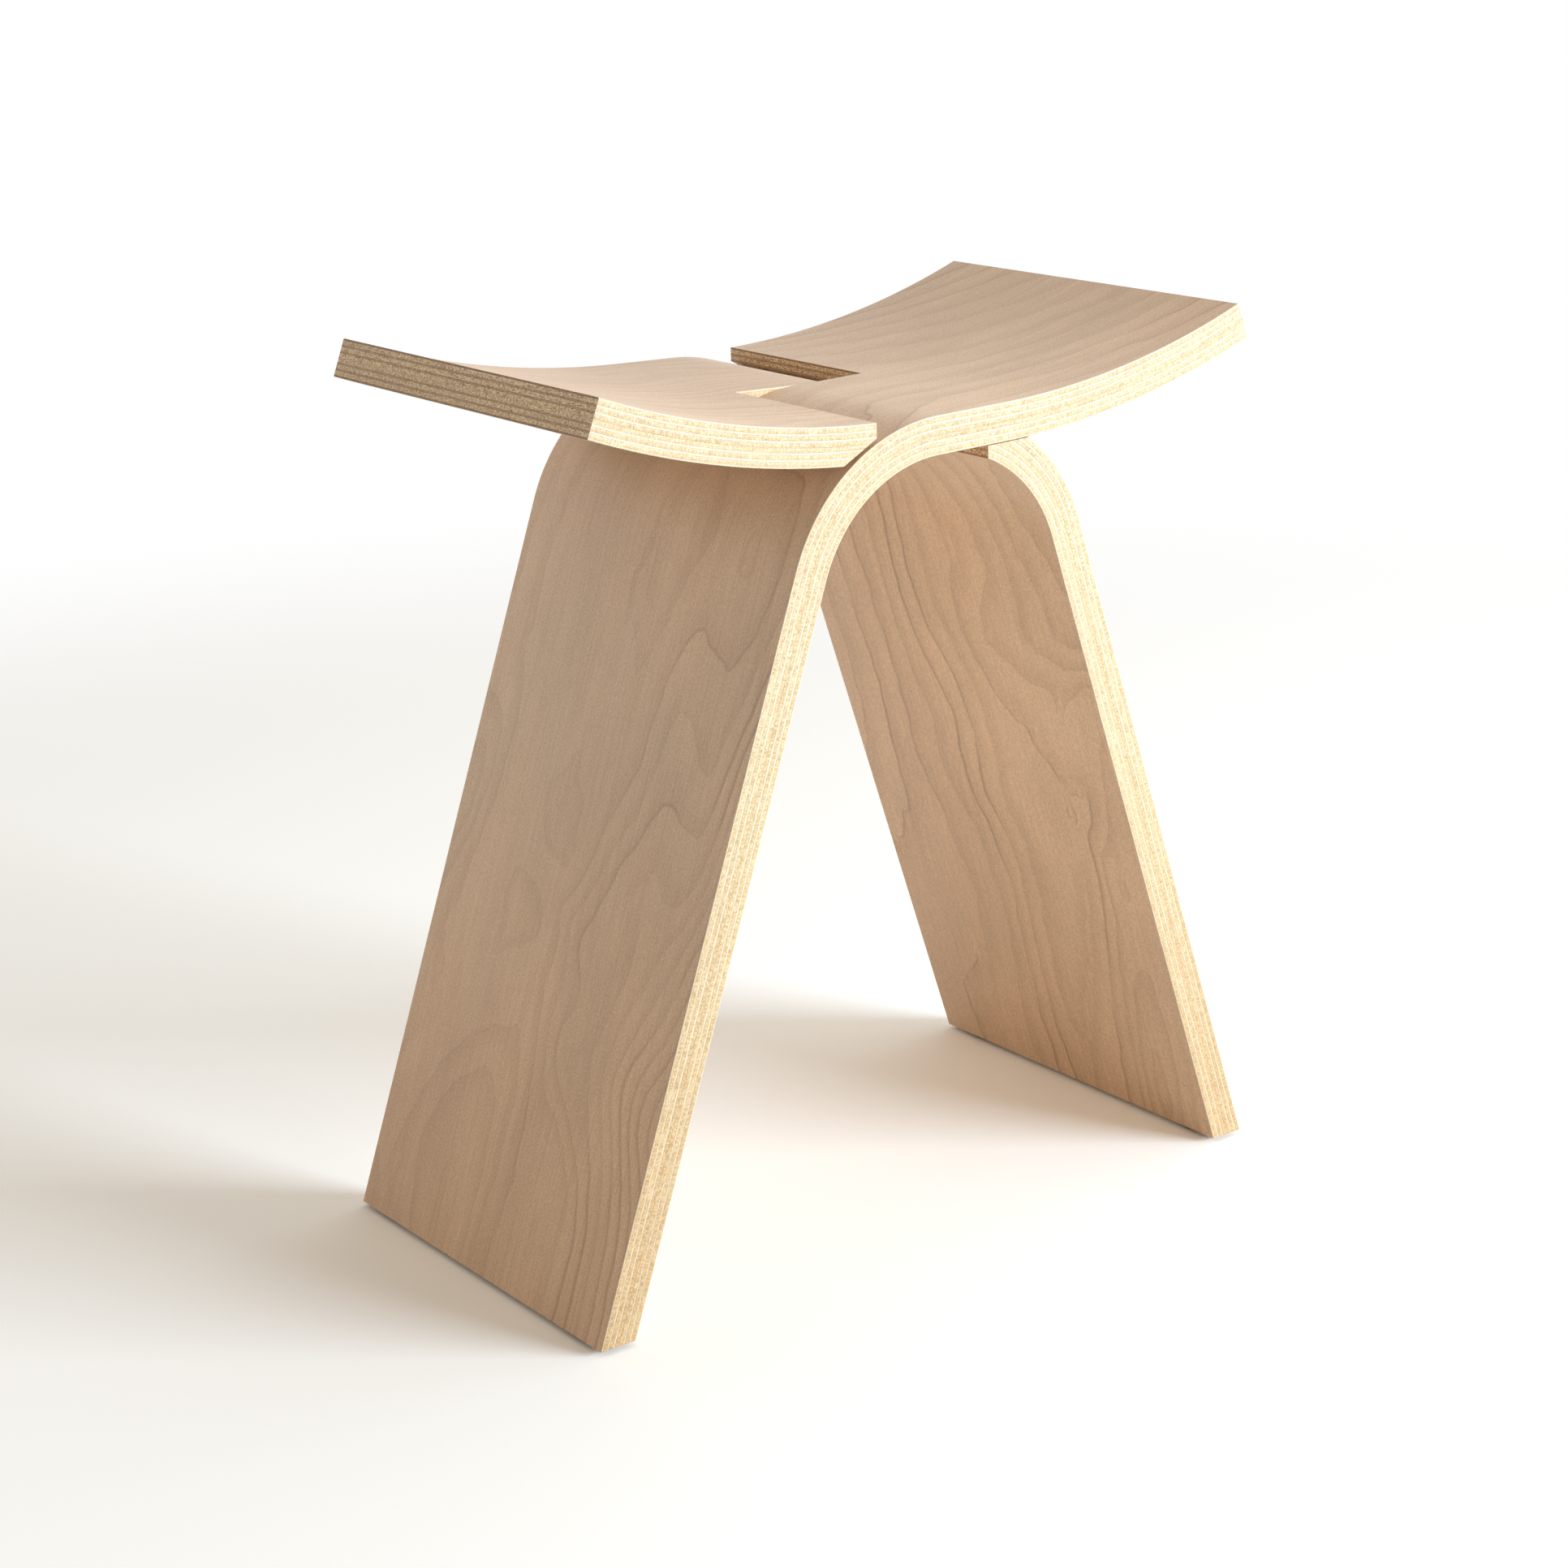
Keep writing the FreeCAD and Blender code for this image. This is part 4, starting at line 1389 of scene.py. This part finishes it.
# The figures of the two faces that show most: an arch near the foot of the left leg with kinked
# lines above it, and long lines with dips in them on the right one.
LEFT_LEG_FIGURE = Figure(
    start=3.22, along=-9.5, across=-60.2, swell=0.0, crease=0.0, strength=0.45, swells=(
        Swell(385, -82, 97.4, 81.7, -1, -5.95),
        Swell(326, 86, 339.7, 87.4, 1, 5.94),
        Swell(72, -33, 291.1, 73.7, 18, -6.07),
        Swell(186, -27, 315.1, 25.1, -7, 1.96),
        Swell(124, -107, 101.0, 31.8, -101, 2.18),
        Swell(38, 140, 21.0, 446.6, 45, 0.91),
        Swell(271, -33, 61.7, 24.1, 3, -2.11),
        Swell(237, 103, 48.5, 17.7, -13, -2.54),
        Swell(260, -90, 61.9, 26.8, 0, -3.35),
        Swell(5, 34, 140.2, 44.2, 14, -4.55),
        Swell(110, -45, 39.5, 11.8, 38, 0.96),
        Swell(201, 3, 12.3, 61.9, -31, 0.63)))
RIGHT_LEG_FIGURE = Figure(
    start=4.03, along=-5.3, across=-45.8, swell=0.0, crease=0.0, strength=0.6, swells=(
        Swell(244, 89, 462.4, 12.0, 19, 0.87),
        Swell(71, -143, 134.4, 91.3, -19, -4.4),
        Swell(310, 53, 66.5, 28.8, -78, -2.4),
        Swell(-37, 21, 347.7, 34.1, 180, -2.63),
        Swell(30, 74, 108.8, 18.8, 5, -3.58),
        Swell(132, -27, 33.8, 126.3, -46, 0.5),
        Swell(381, 3, 132.7, 25.5, 21, -0.89),
        Swell(404, 88, 84.8, 43.3, -11, -2.13),
        Swell(287, 131, 24.0, 116.6, 14, 2.36),
        Swell(186, 82, 29.1, 12.2, -20, -0.86),
        Swell(215, -15, 23.4, 58.7, 13, -0.48)))
LEFT_OUTER_FACE = replace(FINISHES["face_veneer"], name="lacquered_birch_left_leg_face",
                          figure=LEFT_LEG_FIGURE)
RIGHT_INNER_FACE = replace(FINISHES["face_veneer"], name="lacquered_birch_right_leg_face",
                           figure=RIGHT_LEG_FIGURE)

# Metres along and across the log to the outer and the inner half's veneers of each shell.
LOG_PLACES = {"left": ((0.0, 0.0), (1.3, 0.6)), "right": ((2.9, 1.1), (4.2, 1.9))}
OWN_FACES = {"left": {1: LEFT_OUTER_FACE}, "right": {len(LAYUP): RIGHT_INNER_FACE}}


def main() -> None:
    """Builds the stool and the studio."""
    logging.basicConfig(level=logging.INFO, format="%(name)s: %(message)s")
    finishes = {slot: finish.build() for slot, finish in FINISHES.items()}
    form, glide = ShellForm(), GlideForm()
    blank = BoardBlank(form, glide).cut(finishes)
    for side in ("left", "right"):
        Shell(side, form, LOG_PLACES[side], OWN_FACES[side]).build(blank)
        for where in ("front", "back"):
            FootGlide(side, where, glide, form).build(finishes)
    Studio().build()


if __name__ == "__main__":
    main()
